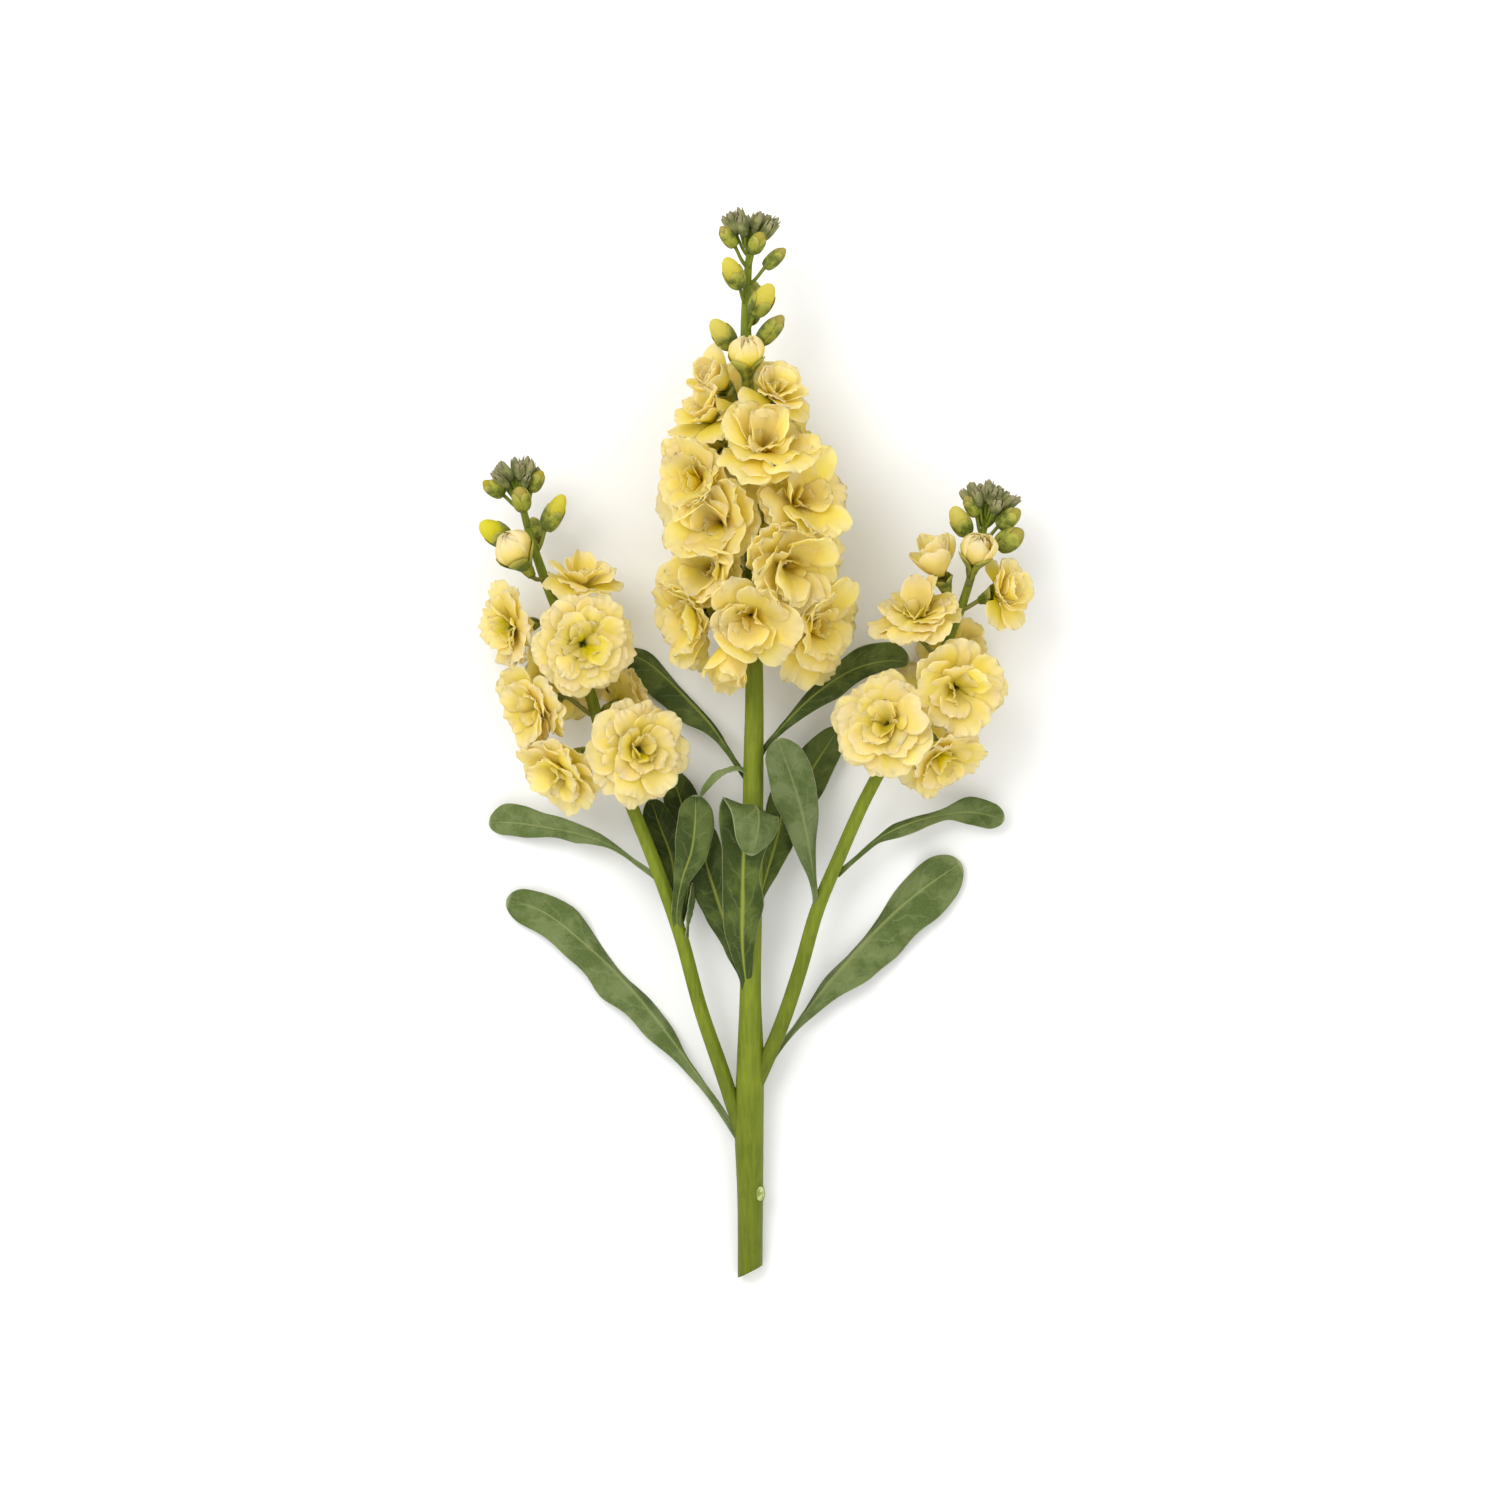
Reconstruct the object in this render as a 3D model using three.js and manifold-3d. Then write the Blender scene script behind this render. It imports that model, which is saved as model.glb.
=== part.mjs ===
// A cut stem of double stock flowers, lying on a surface: a green stem with two
// side branches, three spikes of pale yellow double blooms and buds, and leaves.
// Millimetres, +Z up. The stem runs along +Y to its tip, and +X is to the right.
import * as THREE from 'three';
import { mergeVertices } from 'three/addons/utils/BufferGeometryUtils.js';
import Module from 'manifold-3d';

const wasm = await Module();
wasm.setup();

// Driving dimensions
const petalThickness = 0.7;
const leafThickness = 0.9;
const seatGap = 0.3; // between a bloom and its calyx, and a leaf and the stem
const facetMargin = 0.1; // added where a cut follows a round stalk's flat sides
const bloomGap = 0.35; // between the petals of neighbouring blooms
const stemClearance = 1.0; // petals keep this far off the main axis of their spike
const calyxLength = 8.5;
const calyxRadius = 2.1;
const pedicelRadius = 0.8;
const pedicelSwell = 0.2; // a bloom's pedicel is this much thicker than a bud's
const pedicelDrop = 9; // a pedicel leaves the axis this far below its bloom
const leastDrop = 0.6; // the share of that for the shortest stalks
const fullDropReach = 15; // blooms that stand out this far have the whole drop
const stemSides = 9;
const branchSides = 7;
const stalkSides = 5;
const settleHeight = 0.2; // petals this near the surface lie flat on it
const cutSlant = 4.2; // the cut end's slant along the stem
const originShift = new THREE.Vector3(-0.6, -0.4, 0); // puts the origin under the box's centre

// Stem axes, from the cut end up: x, y, height and radius
const mainAxis = [
  [-0.5, -183.5, 3.5, 4.1], [-0.5, -154, 6.4, 4.25], [-0.9, -130, 9, 5], [-0.5, -106, 11.2, 4.6],
  [-0.5, -84, 13.3, 3.5], [0.2, -45, 17, 3.4], [0.5, -11, 20.2, 3.5], [0.9, 20, 23.1, 3],
  [0.2, 64, 27.3, 2.7], [-0.5, 105, 31.2, 2.3], [-1.9, 142, 34, 1.8], [-1.2, 162, 35, 1.3],
  [0.2, 176, 35.6, 0.9],
];
const leftAxis = [
  [-1.5, -137, 8.6, 2.6], [-10, -111, 11, 2.6], [-17.5, -89, 13, 2.4], [-24.3, -64, 15, 2.4],
  [-32.8, -40, 16.8, 2.3], [-41.3, -19, 18.4, 2.2], [-49.8, 1, 20, 2.1], [-55.6, 20, 21, 2],
  [-63.4, 40, 22.3, 1.8], [-70.2, 57, 23.4, 1.6], [-75, 71, 24.4, 1.4], [-78.4, 84, 25.4, 1.1],
  [-80.4, 92, 26, 0.8],
];
const rightAxis = [
  [0.5, -117, 10.2, 2.7], [9.7, -96, 12.4, 2.6], [16.5, -76, 14.2, 2.5], [22.6, -55, 15.8, 2.4],
  [30.1, -37, 17.2, 2.3], [37.6, -20, 18.5, 2.2], [44, -7.5, 19.5, 2.1], [52.2, 9, 20.6, 2],
  [62.4, 26.5, 22, 1.8], [69.9, 43.5, 23.2, 1.6], [75, 59, 24.3, 1.4], [79.1, 74, 25.4, 1.1],
  [81.1, 84, 26, 0.8],
];

// Blooms of each spike. at: y of the axis beside the bloom; turn: degrees round the
// axis, 0 up and 90 to the right; reach: throat to axis; size: petal reach; nod: lean
// of the face towards the tip (minus: towards the cut end); lift: turn of the face up;
// half: a half open cup of petals; floor: height of what a bloom's petals lie on.
const mainBlooms = [
  { name: 'bloom_main_01', at: 122, turn: -52, reach: 9.5, size: 9.5, nod: 0.9, half: true },
  { name: 'bloom_main_02', at: 111, turn: -50, reach: 15.5, size: 14, nod: 1.5, lift: 0.2 },
  { name: 'bloom_main_03', at: 118, turn: 34, reach: 13.5, size: 14, nod: 1 },
  { name: 'bloom_main_04', at: 100.5, turn: 14, reach: 17.5, size: 17, nod: 1.25 },
  { name: 'bloom_main_05', at: 92, turn: -52, reach: 20.5, size: 16, nod: 0.1, lift: 0.5 },
  { name: 'bloom_main_06', at: 84, turn: 44, reach: 20, size: 17.5, nod: 0.5, lift: 0.3 },
  { name: 'bloom_main_07', at: 78, turn: -29, reach: 18.5, size: 17.5, nod: 0.2 },
  { name: 'bloom_main_08', at: 63, turn: -40, reach: 16, size: 17.5, nod: 0, lift: 0.2 },
  { name: 'bloom_main_09', at: 64, turn: 29, reach: 19.5, size: 19.5, nod: -0.2, lift: 0.2 },
  { name: 'bloom_main_10', at: 46, turn: -62, reach: 20, size: 17, nod: -0.2, lift: 0.5 },
  { name: 'bloom_main_11', at: 47.5, turn: -2, reach: 20, size: 15.5, nod: -0.3 },
  { name: 'bloom_main_12', at: 42, turn: 62, reach: 20.5, size: 17, nod: -0.1, lift: 0.4 },
  { name: 'bloom_main_13', at: 40, turn: -22, reach: 18.5, size: 14, nod: -2.2, half: true },
  { name: 'bloom_main_14', at: 118, turn: 175, reach: 14, size: 14, nod: 0.3 },
  { name: 'bloom_main_15', at: 100, turn: -135, reach: 13, size: 14, nod: 0.1 },
  { name: 'bloom_main_16', at: 98, turn: 132, reach: 15, size: 15.5, nod: 0.05 },
  { name: 'bloom_main_17', at: 79, turn: 178, reach: 19, size: 17.5, nod: 0 },
  { name: 'bloom_main_18', at: 62, turn: 116, reach: 18, size: 16, nod: 0 },
  { name: 'bloom_main_19', at: 57, turn: -134, reach: 16, size: 15.5, nod: -0.05 },
  { name: 'bloom_main_20', at: 44, turn: 162, reach: 18, size: 17, nod: -0.1 },
];
const leftBlooms = [
  { name: 'bloom_left_01', at: 50, turn: 62, reach: 11, size: 14, nod: 1.2, lift: 0.1 },
  { name: 'bloom_left_02', at: 47, turn: -80, reach: 15, size: 15, nod: 0.2, lift: 0.45 },
  { name: 'bloom_left_03', at: 35, turn: 13, reach: 17, size: 18, nod: -0.12 },
  { name: 'bloom_left_04', at: 20, turn: -66, reach: 18, size: 16.5, nod: -0.1, lift: 0.35 },
  { name: 'bloom_left_05', at: 0, turn: -54, reach: 18.5, size: 16, nod: -0.35, lift: 0.1 },
  { name: 'bloom_left_06', at: -3, turn: 28, reach: 19, size: 18.5, nod: -0.05, lift: 0.1 },
  { name: 'bloom_left_07', at: 12, turn: 138, reach: 12, size: 15, nod: 0.1, lift: 0.3, floor: 8 },
  { name: 'bloom_left_08', at: 27, turn: 200, reach: 14.5, size: 16, nod: 0 },
];
const rightBlooms = [
  { name: 'bloom_right_01', at: 39, turn: -46, reach: 16, size: 16.5, nod: 0.95 },
  { name: 'bloom_right_02', at: 55, turn: 60, reach: 10.5, size: 13, nod: 0.7, lift: 0.2 },
  { name: 'bloom_right_03', at: 26, turn: 26, reach: 17.5, size: 18, nod: -0.05, lift: 0.1 },
  { name: 'bloom_right_04', at: 7, turn: -14, reach: 18, size: 18.5, nod: 0 },
  { name: 'bloom_right_05', at: 6, turn: 54, reach: 18, size: 15.5, nod: -0.5, lift: 0.2 },
  { name: 'bloom_right_06', at: 15, turn: 172, reach: 15, size: 16.5, nod: 0 },
  { name: 'bloom_right_07', at: 33, turn: 165, reach: 12, size: 12.5, nod: 0.1 },
];
const halfOpenLeft = [
  { name: 'bloom_opening_left', at: 65, turn: -28, reach: 10.5, size: 9.5, nod: 1.8, half: true },
];
const halfOpenRight = [
  { name: 'bloom_opening_right_1', at: 55, turn: -64, reach: 10, size: 10.5, nod: 1.3, half: true },
  { name: 'bloom_opening_right_2', at: 63, turn: -4, reach: 9.5, size: 9, nod: 1.6, half: true },
];
const halfOpenMain = [
  { name: 'bloom_opening_main', at: 129, turn: 0, reach: 11, size: 9, nod: 2, half: true },
];

// Yellow buds that stand out of their sepals, each a node
const yellowBuds = [
  { name: 'bud_main_1', axis: 'main', at: 137, turn: -46, reach: 7, size: 7.2, length: 12 },
  { name: 'bud_main_2', axis: 'main', at: 148, turn: 34, reach: 5.6, size: 7.4, length: 13 },
  { name: 'bud_main_3', axis: 'main', at: 157, turn: -34, reach: 5, size: 6.8, length: 12 },
  { name: 'bud_left_1', axis: 'left', at: 73, turn: -60, reach: 9, size: 8, length: 11.5 },
  { name: 'bud_left_2', axis: 'left', at: 73.5, turn: 68, reach: 6.5, size: 6.6, length: 13 },
  { name: 'bud_right_1', axis: 'right', at: 72, turn: -60, reach: 6.5, size: 6.8, length: 10.5 },
];
// Green buds still shut in their sepals, grown together with the stem
const greenBuds = [
  { axis: 'main', at: 138, turn: 66, reach: 5.4, size: 6.2, length: 12 },
  { axis: 'main', at: 164, turn: 70, reach: 6.4, size: 4.8, length: 9 },
  { axis: 'main', at: 169, turn: 20, reach: 4, size: 5.4, length: 8.5 },
  { axis: 'main', at: 170, turn: -66, reach: 6, size: 4.6, length: 8 },
  { axis: 'main', at: 145, turn: 170, reach: 8, size: 6.4, length: 10 },
  { axis: 'main', at: 152, turn: 168, reach: 6.5, size: 5, length: 9 },
  { axis: 'left', at: 82, turn: 2, reach: 6.5, size: 6.2, length: 10 },
  { axis: 'left', at: 88, turn: -62, reach: 6.5, size: 5, length: 8 },
  { axis: 'left', at: 87, turn: 66, reach: 5, size: 4.8, length: 7.5 },
  { axis: 'left', at: 70, turn: 172, reach: 8.5, size: 6.4, length: 10 },
  { axis: 'right', at: 70.5, turn: 64, reach: 7, size: 8, length: 10 },
  { axis: 'right', at: 77, turn: 60, reach: 5.6, size: 6.4, length: 9 },
  { axis: 'right', at: 79, turn: -60, reach: 4.5, size: 4.4, length: 7.5 },
  { axis: 'right', at: 66, turn: 172, reach: 8.5, size: 6.2, length: 9.5 },
];
// Clusters of the smallest buds at each spike's tip
const tipClusters = [
  { axis: 'main', count: 9, spread: 5.2, size: 4.4, length: 7 },
  { axis: 'left', count: 8, spread: 4.8, size: 4.2, length: 6.4 },
  { axis: 'right', count: 9, spread: 5.8, size: 4.4, length: 7 },
];

// Leaves. spine: x, y and height from the base to the tip; left, right: half widths at
// each tenth of the length, seen from above; roll: degrees about the spine at base and
// tip; wave: height of the edge's waves; waves: how many. Plain leaves have a width and
// a peak, which is where they are widest.
const leaves = [
  { name: 'leaf_low_left', wave: 0.9, waves: 3.2, roll: [0, -6],
    left: [1.2, 1.4, 1.8, 3.2, 6.2, 7, 10, 7.4, 7.2, 7.2, 6],
    right: [1.2, 1, 0.5, 0.6, 2.6, 2.2, 0.5, 2.6, 7.4, 6.4, 4.5],
    spine: [[-3, -136, 8.6], [-10.5, -123.6, 7.6], [-19, -111.3, 6.8], [-32.1, -93.6, 6],
      [-45.2, -78.2, 5.2], [-61.4, -63.6, 4.4], [-72.1, -55.9, 3.6], [-84, -52, 2.4]] },
  { name: 'leaf_low_right', wave: 0.9, waves: 2.6, roll: [0, 8],
    left: [1.2, 0.9, 0.5, 0.8, 1.8, 0.4, 0.5, 2.6, 5.6, 7.8, 6],
    right: [1.2, 1, 1.4, 3.8, 6.6, 10.4, 11.8, 10.6, 11.2, 9.4, 7],
    spine: [[3, -112, 8.6], [14, -96.6, 7], [28.2, -78.3, 6], [41.6, -63.5, 5], [55.1, -51.3, 4.2],
      [68.7, -41.6, 3.2], [72, -39.6, 2.6]] },
  { name: 'leaf_mid_left', wave: 0.8, waves: 2, roll: [6, -6],
    left: [1.1, 1.1, 0.7, 1, 1.9, 3.3, 2.7, 3.7, 4.6, 4.5, 4],
    right: [1.1, 0.8, 0.7, 1.4, 2.5, 3.4, 4.2, 4.6, 6.3, 6.5, 5],
    spine: [[-32.6, -44, 16.4], [-38.5, -39.8, 15.4], [-49, -33, 13], [-59.8, -29.3, 10.6],
      [-71.4, -27, 8.2], [-82, -25.6, 6.2], [-90, -25.6, 4.6]] },
  { name: 'leaf_mid_right', wave: 0.8, waves: 2, roll: [-14, 10],
    left: [1.1, 0.9, 0.7, 0.8, 2.2, 1.8, 1.4, 2.6, 5.4, 5, 3.6],
    right: [1.1, 0.8, 0.8, 1.4, 3.3, 3.9, 2.6, 1.5, 4.5, 4.6, 4],
    spine: [[29.2, -43.5, 16.6], [34.9, -38.5, 15.6], [44.4, -30.4, 13.6], [55.1, -25.4, 11.2],
      [65.3, -23, 9.2], [75.4, -22, 7.6], [86.7, -24.4, 6]] },
  { name: 'leaf_upper_left', wave: 0.4, waves: 2, roll: [-8, -8],
    left: [1.1, 1.1, 1, 1.8, 3.8, 6.5, 7.6, 7.8, 8, 6.8, 5],
    right: [1.1, 0.9, 0.8, 0.9, 0.7, 0.6, 0.5, 0.7, 1.8, 3.4, 2.6],
    spine: [[0, -13, 19.4], [-5, -5.5, 18], [-13.8, 7.8, 12.6], [-20.1, 14.9, 9], [-29, 23.8, 5.8],
      [-36.5, 29.8, 4], [-43.5, 32.6, 3]] },
  { name: 'leaf_upper_right', wave: 0.4, waves: 2, roll: [10, 6],
    left: [1.1, 0.9, 0.6, 0.6, 0.9, 1.8, 2.8, 4.8, 6.8, 6.8, 5],
    right: [1.1, 1, 1.2, 1.8, 3.2, 4.8, 5.8, 5, 4.2, 3, 2],
    spine: [[0, -12, 19.4], [3.7, -1, 19.6], [8.8, 5.5, 19.2], [21.3, 18, 17.6], [34.5, 26.6, 15.8],
      [45, 29.6, 15], [54, 29.8, 14.5]] },
  { name: 'leaf_behind_right', width: 14, wave: 0.8, waves: 2, roll: [0, 0], peak: 0.66,
    spine: [[1.6, -50, 13.4], [6, -38, 10], [13, -22, 8], [21, -7, 7], [30, 7, 6]] },
  { name: 'leaf_right_front', wave: 0.35, waves: 1.6, roll: [8, -6],
    left: [1.2, 1, 2, 3.8, 5.4, 6.6, 7.6, 8.4, 7.8, 6.6, 5],
    right: [1.2, 0.9, 0.9, 1.6, 2.8, 4.6, 6.2, 7.4, 7.6, 6.8, 5],
    spine: [[22.2, -55.5, 16.5], [21.3, -45, 20.2], [19.7, -33.6, 23.4], [17.4, -22.6, 25.8],
      [15, -14, 27], [11.9, -5.4, 27.4], [8.8, 3.2, 26.8]] },
  { name: 'leaf_stem_right', width: 12, wave: 0.7, waves: 1.6, roll: [25, 10], peak: 0.66,
    spine: [
      [0.5, -60, 15.5], [5, -44, 15.8], [8.4, -32.5, 15.4], [10.2, -23.5, 14.6], [9.4, -12.5, 13.4],
    ] },
  { name: 'leaf_stem_front', wave: 0.5, waves: 2, roll: [0, 0],
    left: [1.4, 2.2, 4.2, 6.4, 7.2, 6.8, 7.4, 9.4, 10.8, 9.2, 5],
    right: [1.4, 2.4, 3.8, 5.6, 7.4, 5.6, 6.8, 9.6, 11, 9.2, 5],
    spine: [[-1.2, -86, 14.5], [-3, -69, 20], [-3, -52, 25], [-2.6, -36, 28.4], [-1.6, -24.5, 31.5],
      [0.2, -20.2, 34], [1.5, -22.5, 36.4], [1.2, -29, 37.2], [-0.3, -36.5, 36]] },
  { name: 'leaf_stem_left', width: 14.5, wave: 0.8, waves: 2, roll: [-25, -12], peak: 0.66,
    spine: [[-0.8, -86, 13.4], [-7.4, -65, 15.5], [-12.7, -49, 17.6], [-16, -37, 18.6], [-15.8, -25, 18]] },
  { name: 'leaf_branch_front', wave: 0.5, waves: 2, roll: [-8, 0],
    left: [1.2, 1.4, 1.8, 2, 2.4, 4.2, 5.4, 6.2, 6.4, 5.6, 4.2],
    right: [1.2, 1.4, 1.8, 2, 2.6, 4, 5.4, 6.3, 6.5, 6, 4.6],
    spine: [[-25.2, -65, 15.5], [-25.4, -55, 19.5], [-23.7, -45, 23], [-20.4, -35, 26], [-19.2, -25.5, 28],
      [-19, -16, 28.4]] },
  { name: 'leaf_branch_left', width: 11.5, wave: 0.7, waves: 2, roll: [15, 12], peak: 0.68,
    spine: [
      [-27.4, -57, 14.6], [-26.5, -47, 12.2], [-27.5, -37, 11], [-31.5, -26, 10], [-34.5, -17.5, 9],
    ] },
  { name: 'leaf_branch_behind', width: 13, wave: 0.8, waves: 2, roll: [0, 0], peak: 0.66,
    spine: [[-25, -62, 14], [-22, -50, 9.5], [-21.6, -36, 6.4], [-24, -19, 4.6], [-28.5, -7, 3.6]] },
];
// Two small leaves that are grown together with the stem
const smallLeaves = [
  { width: 4.5, wave: 0.3, waves: 1.5, roll: [60, 70], peak: 0.7,
    spine: [[-23, -70, 14.6], [-21.8, -61, 16.6], [-20.6, -53, 18.4], [-20.2, -46, 19.4]] },
  { width: 2.8, wave: 0.3, waves: 1.5, roll: [60, 30], peak: 0.6,
    spine: [[0, -9, 20.8], [-5, -7, 23], [-11.3, -9, 25], [-15, -12.8, 25.8], [-17.3, -16.4, 25.8]] },
];

// Colours taken by eye from the real flower
const stemGreen = material(0x7f8a38, 0.6);
const leafGreen = material(0x66744a, 0.75);
const petalYellow = material(0xead272, 0.7);
const budYellow = material(0xdcc956, 0.65);

function material(color, roughness) {
  return new THREE.MeshStandardMaterial({ color, roughness, metalness: 0, side: THREE.DoubleSide });
}

// Seeded random numbers, so that each build gives the same flower
function randomFrom(seed) {
  let state = seed;
  return () => {
    state = (state + 0x6d2b79f5) | 0;
    let t = Math.imul(state ^ (state >>> 15), 1 | state);
    t = (t + Math.imul(t ^ (t >>> 7), 61 | t)) ^ t;
    return ((t ^ (t >>> 14)) >>> 0) / 4294967296;
  };
}

// Solids

function solidFrom(points, triangles) {
  const vertProperties = new Float32Array(points.flatMap((p) => [p.x, p.y, p.z]));
  const triVerts = new Uint32Array(triangles.flat());
  return new wasm.Manifold(new wasm.Mesh({ numProp: 3, vertProperties, triVerts }));
}

function solidOfGeometry(geometry) {
  const bare = geometry.clone();
  bare.deleteAttribute('normal');
  bare.deleteAttribute('uv');
  const merged = mergeVertices(bare);
  const vertProperties = merged.attributes.position.array;
  const triVerts = new Uint32Array(merged.index.array);
  return new wasm.Manifold(new wasm.Mesh({ numProp: 3, vertProperties, triVerts }));
}

function meshOf(solid, name, look) {
  const { vertProperties, triVerts } = solid.getMesh();
  const geometry = new THREE.BufferGeometry();
  geometry.setAttribute('position', new THREE.BufferAttribute(new Float32Array(vertProperties), 3));
  geometry.setIndex(new THREE.BufferAttribute(new Uint32Array(triVerts), 1));
  geometry.computeVertexNormals();
  const mesh = new THREE.Mesh(geometry, look);
  mesh.name = name;
  return mesh;
}

// The largest body of a solid: scraps that a cut leaves loose are dropped
function largestBody(solid) {
  const bodies = solid.decompose();
  return bodies.reduce((best, body) => (body.volume() > best.volume() ? body : best));
}

const sliver = 0.02; // edges shorter than this are folded away after a cut

function tidied(solid) {
  return largestBody(solid.simplify(sliver));
}

// A closed skin over rings of points, each ring with the same number of points
function ringSkin(rings) {
  const sides = rings[0].length;
  const triangles = [];
  for (let ring = 0; ring < rings.length - 1; ring++) {
    for (let side = 0; side < sides; side++) {
      const next = (side + 1) % sides;
      const a = ring * sides + side;
      const b = ring * sides + next;
      triangles.push([a, b, b + sides], [a, b + sides, a + sides]);
    }
  }
  const last = (rings.length - 1) * sides;
  for (let side = 1; side < sides - 1; side++) {
    triangles.push([0, side + 1, side], [last, last + side, last + side + 1]);
  }
  return solidFrom(rings.flat(), triangles);
}

// A tube of changing radius: its points are { place, radius }, from one end to the other
function tube(stations, sides) {
  const tangents = stations.map((station, index) => {
    const before = stations[Math.max(index - 1, 0)].place;
    const after = stations[Math.min(index + 1, stations.length - 1)].place;
    return after.clone().sub(before).normalize();
  });
  let across = sidewaysOf(tangents[0]);
  const rings = stations.map(({ place, radius }, index) => {
    const along = tangents[index];
    across = across.addScaledVector(along, -across.dot(along)).normalize();
    const other = along.clone().cross(across);
    const ring = [];
    for (let side = 0; side < sides; side++) {
      const angle = (2 * Math.PI * side) / sides;
      const point = place.clone();
      point.addScaledVector(across, radius * Math.cos(angle));
      point.addScaledVector(other, radius * Math.sin(angle));
      ring.push(point);
    }
    return ring;
  });
  return ringSkin(rings);
}

function sidewaysOf(direction) {
  const upright = new THREE.Vector3(0, 0, 1);
  const reference = Math.abs(direction.z) > 0.9 ? new THREE.Vector3(0, 1, 0) : upright;
  return direction.clone().cross(reference).normalize();
}

// Stem axes

// A smooth axis through the listed points, which also tells the radius along it
function makeAxis(rows) {
  const curve = new THREE.CatmullRomCurve3(rows.map(([x, y, z]) => new THREE.Vector3(x, y, z)));
  const spans = rows.length - 1;
  const radiusAt = (t) => {
    const index = Math.min(Math.floor(t * spans), spans - 1);
    return THREE.MathUtils.lerp(rows[index][3], rows[index + 1][3], t * spans - index);
  };
  // The place, heading and side directions of the axis where it passes a given y
  const frameAt = (y) => {
    let low = 0;
    let high = 1;
    for (let step = 0; step < 30; step++) {
      const middle = (low + high) / 2;
      if (curve.getPoint(middle).y < y) low = middle;
      else high = middle;
    }
    const along = curve.getTangent(low);
    const right = along.clone().cross(new THREE.Vector3(0, 0, 1)).normalize();
    const up = right.clone().cross(along);
    return { place: curve.getPoint(low), along, right, up, radius: radiusAt(low) };
  };
  const solid = (sides, steps, grow = 0) => {
    const stations = [];
    for (let step = 0; step <= steps; step++) {
      const t = step / steps;
      stations.push({ place: curve.getPoint(t), radius: radiusAt(t) + grow });
    }
    return tube(stations, sides);
  };
  return { frameAt, solid };
}

const axisRows = { main: mainAxis, left: leftAxis, right: rightAxis };
const axes = { main: makeAxis(mainAxis), left: makeAxis(leftAxis), right: makeAxis(rightAxis) };
const axisSteps = { main: 22, left: 15, right: 15 };

// Where a bloom or bud sits: its throat, its facing direction, and its stalk's foot
function seatOf(axis, { at, turn, reach, nod = 1, lift = 0 }) {
  const { place, along, right, up, radius } = axis.frameAt(at);
  const angle = THREE.MathUtils.degToRad(turn);
  const outward = right.clone().multiplyScalar(Math.sin(angle)).addScaledVector(up, Math.cos(angle));
  const facing = outward.clone().addScaledVector(along, nod);
  facing.z += lift;
  facing.normalize();
  const throat = place.clone().addScaledVector(outward, reach);
  const drop = THREE.MathUtils.lerp(leastDrop, 1, Math.min(1, reach / fullDropReach)) * pedicelDrop;
  const foot = axis.frameAt(at - drop).place;
  return { place, outward, facing, throat, foot, axisRadius: radius };
}

const calyxWidest = 0.4; // a calyx has its whole width from this share of its length
const calyxMouth = 0.95; // and narrows to this share of it at its mouth

// A bloom's stalk: pedicel and calyx in one tapered tube, ending at the throat
function stalkStations(seat, calyx, radius, grow = 0) {
  const { foot, throat, facing } = seat;
  const stalkRadius = pedicelRadius + pedicelSwell + grow;
  const calyxBase = throat.clone().addScaledVector(facing, -calyx);
  const calyxPlace = (share) => calyxBase.clone().addScaledVector(facing, calyx * share);
  return [
    { place: foot, radius: stalkRadius },
    { place: calyxBase, radius: stalkRadius },
    { place: calyxPlace(calyxWidest), radius: radius + grow },
    { place: calyxPlace(1).addScaledVector(facing, grow), radius: radius * calyxMouth + grow },
  ];
}

// Blooms

const bloomGroups = [
  { axis: axes.main, rows: [...mainBlooms, ...halfOpenMain] },
  { axis: axes.left, rows: [...leftBlooms, ...halfOpenLeft] },
  { axis: axes.right, rows: [...rightBlooms, ...halfOpenRight] },
];
const heartLift = 3; // a bloom's heart is this far in front of its throat
const calyxReachShare = 0.55; // a calyx is no longer than this share of its bloom's reach

const blooms = bloomGroups.flatMap(({ axis, rows }) =>
  rows.map((row) => {
    const seat = seatOf(axis, row);
    const heart = seat.throat.clone().addScaledVector(seat.facing, heartLift);
    return { ...row, ...seat, heart, calyx: Math.min(calyxLength, row.reach * calyxReachShare) };
  }),
);
const buds = yellowBuds.map((row) => ({ ...row, ...seatOf(axes[row.axis], row) }));
const sealedBuds = greenBuds.map((row) => ({ ...row, ...seatOf(axes[row.axis], row) }));

const leastRoom = 0.6; // a bloom keeps this much room on every side of its heart
const budMiddle = 0.4; // the widest place of a bud, as a share of its length
const budMargin = 0.4; // petals keep this much further off a bud than off a bloom

// The room of a bloom: flat limits towards each neighbour, the stem and the floor
function roomOf(bloom) {
  const margin = petalThickness / 2 + bloomGap / 2;
  const limits = [];
  const addLimit = (normal, distance) => {
    limits.push({ normal, distance: Math.max(distance, leastRoom) });
  };
  for (const other of blooms) {
    if (other === bloom) continue;
    const between = other.heart.clone().sub(bloom.heart);
    const distance = between.length();
    if (distance > bloom.size + other.size) continue;
    const share = bloom.size / (bloom.size + other.size);
    addLimit(between.normalize(), distance * share - margin);
  }
  for (const bud of [...buds, ...sealedBuds]) {
    const middle = bud.throat.clone().addScaledVector(bud.facing, bud.length * budMiddle);
    const between = middle.sub(bloom.heart);
    const distance = between.length();
    if (distance > bloom.size + bud.size) continue;
    addLimit(between.normalize(), distance - bud.size / 2 - margin - budMargin);
  }
  const toStem = bloom.outward.clone().negate();
  const stemDistance = bloom.heart.clone().sub(bloom.place).dot(bloom.outward);
  addLimit(toStem, stemDistance - bloom.axisRadius - stemClearance - margin);
  const floor = lowestMiddle(bloom) - floorPress;
  addLimit(new THREE.Vector3(0, 0, -1), bloom.heart.z - floor);
  return limits;
}

// How low the middle of a petal may lie, and how much deeper the press would take it
const floorPress = 3.4;
function lowestMiddle(bloom) {
  return (bloom.floor ?? 0) + petalThickness / 2;
}

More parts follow.
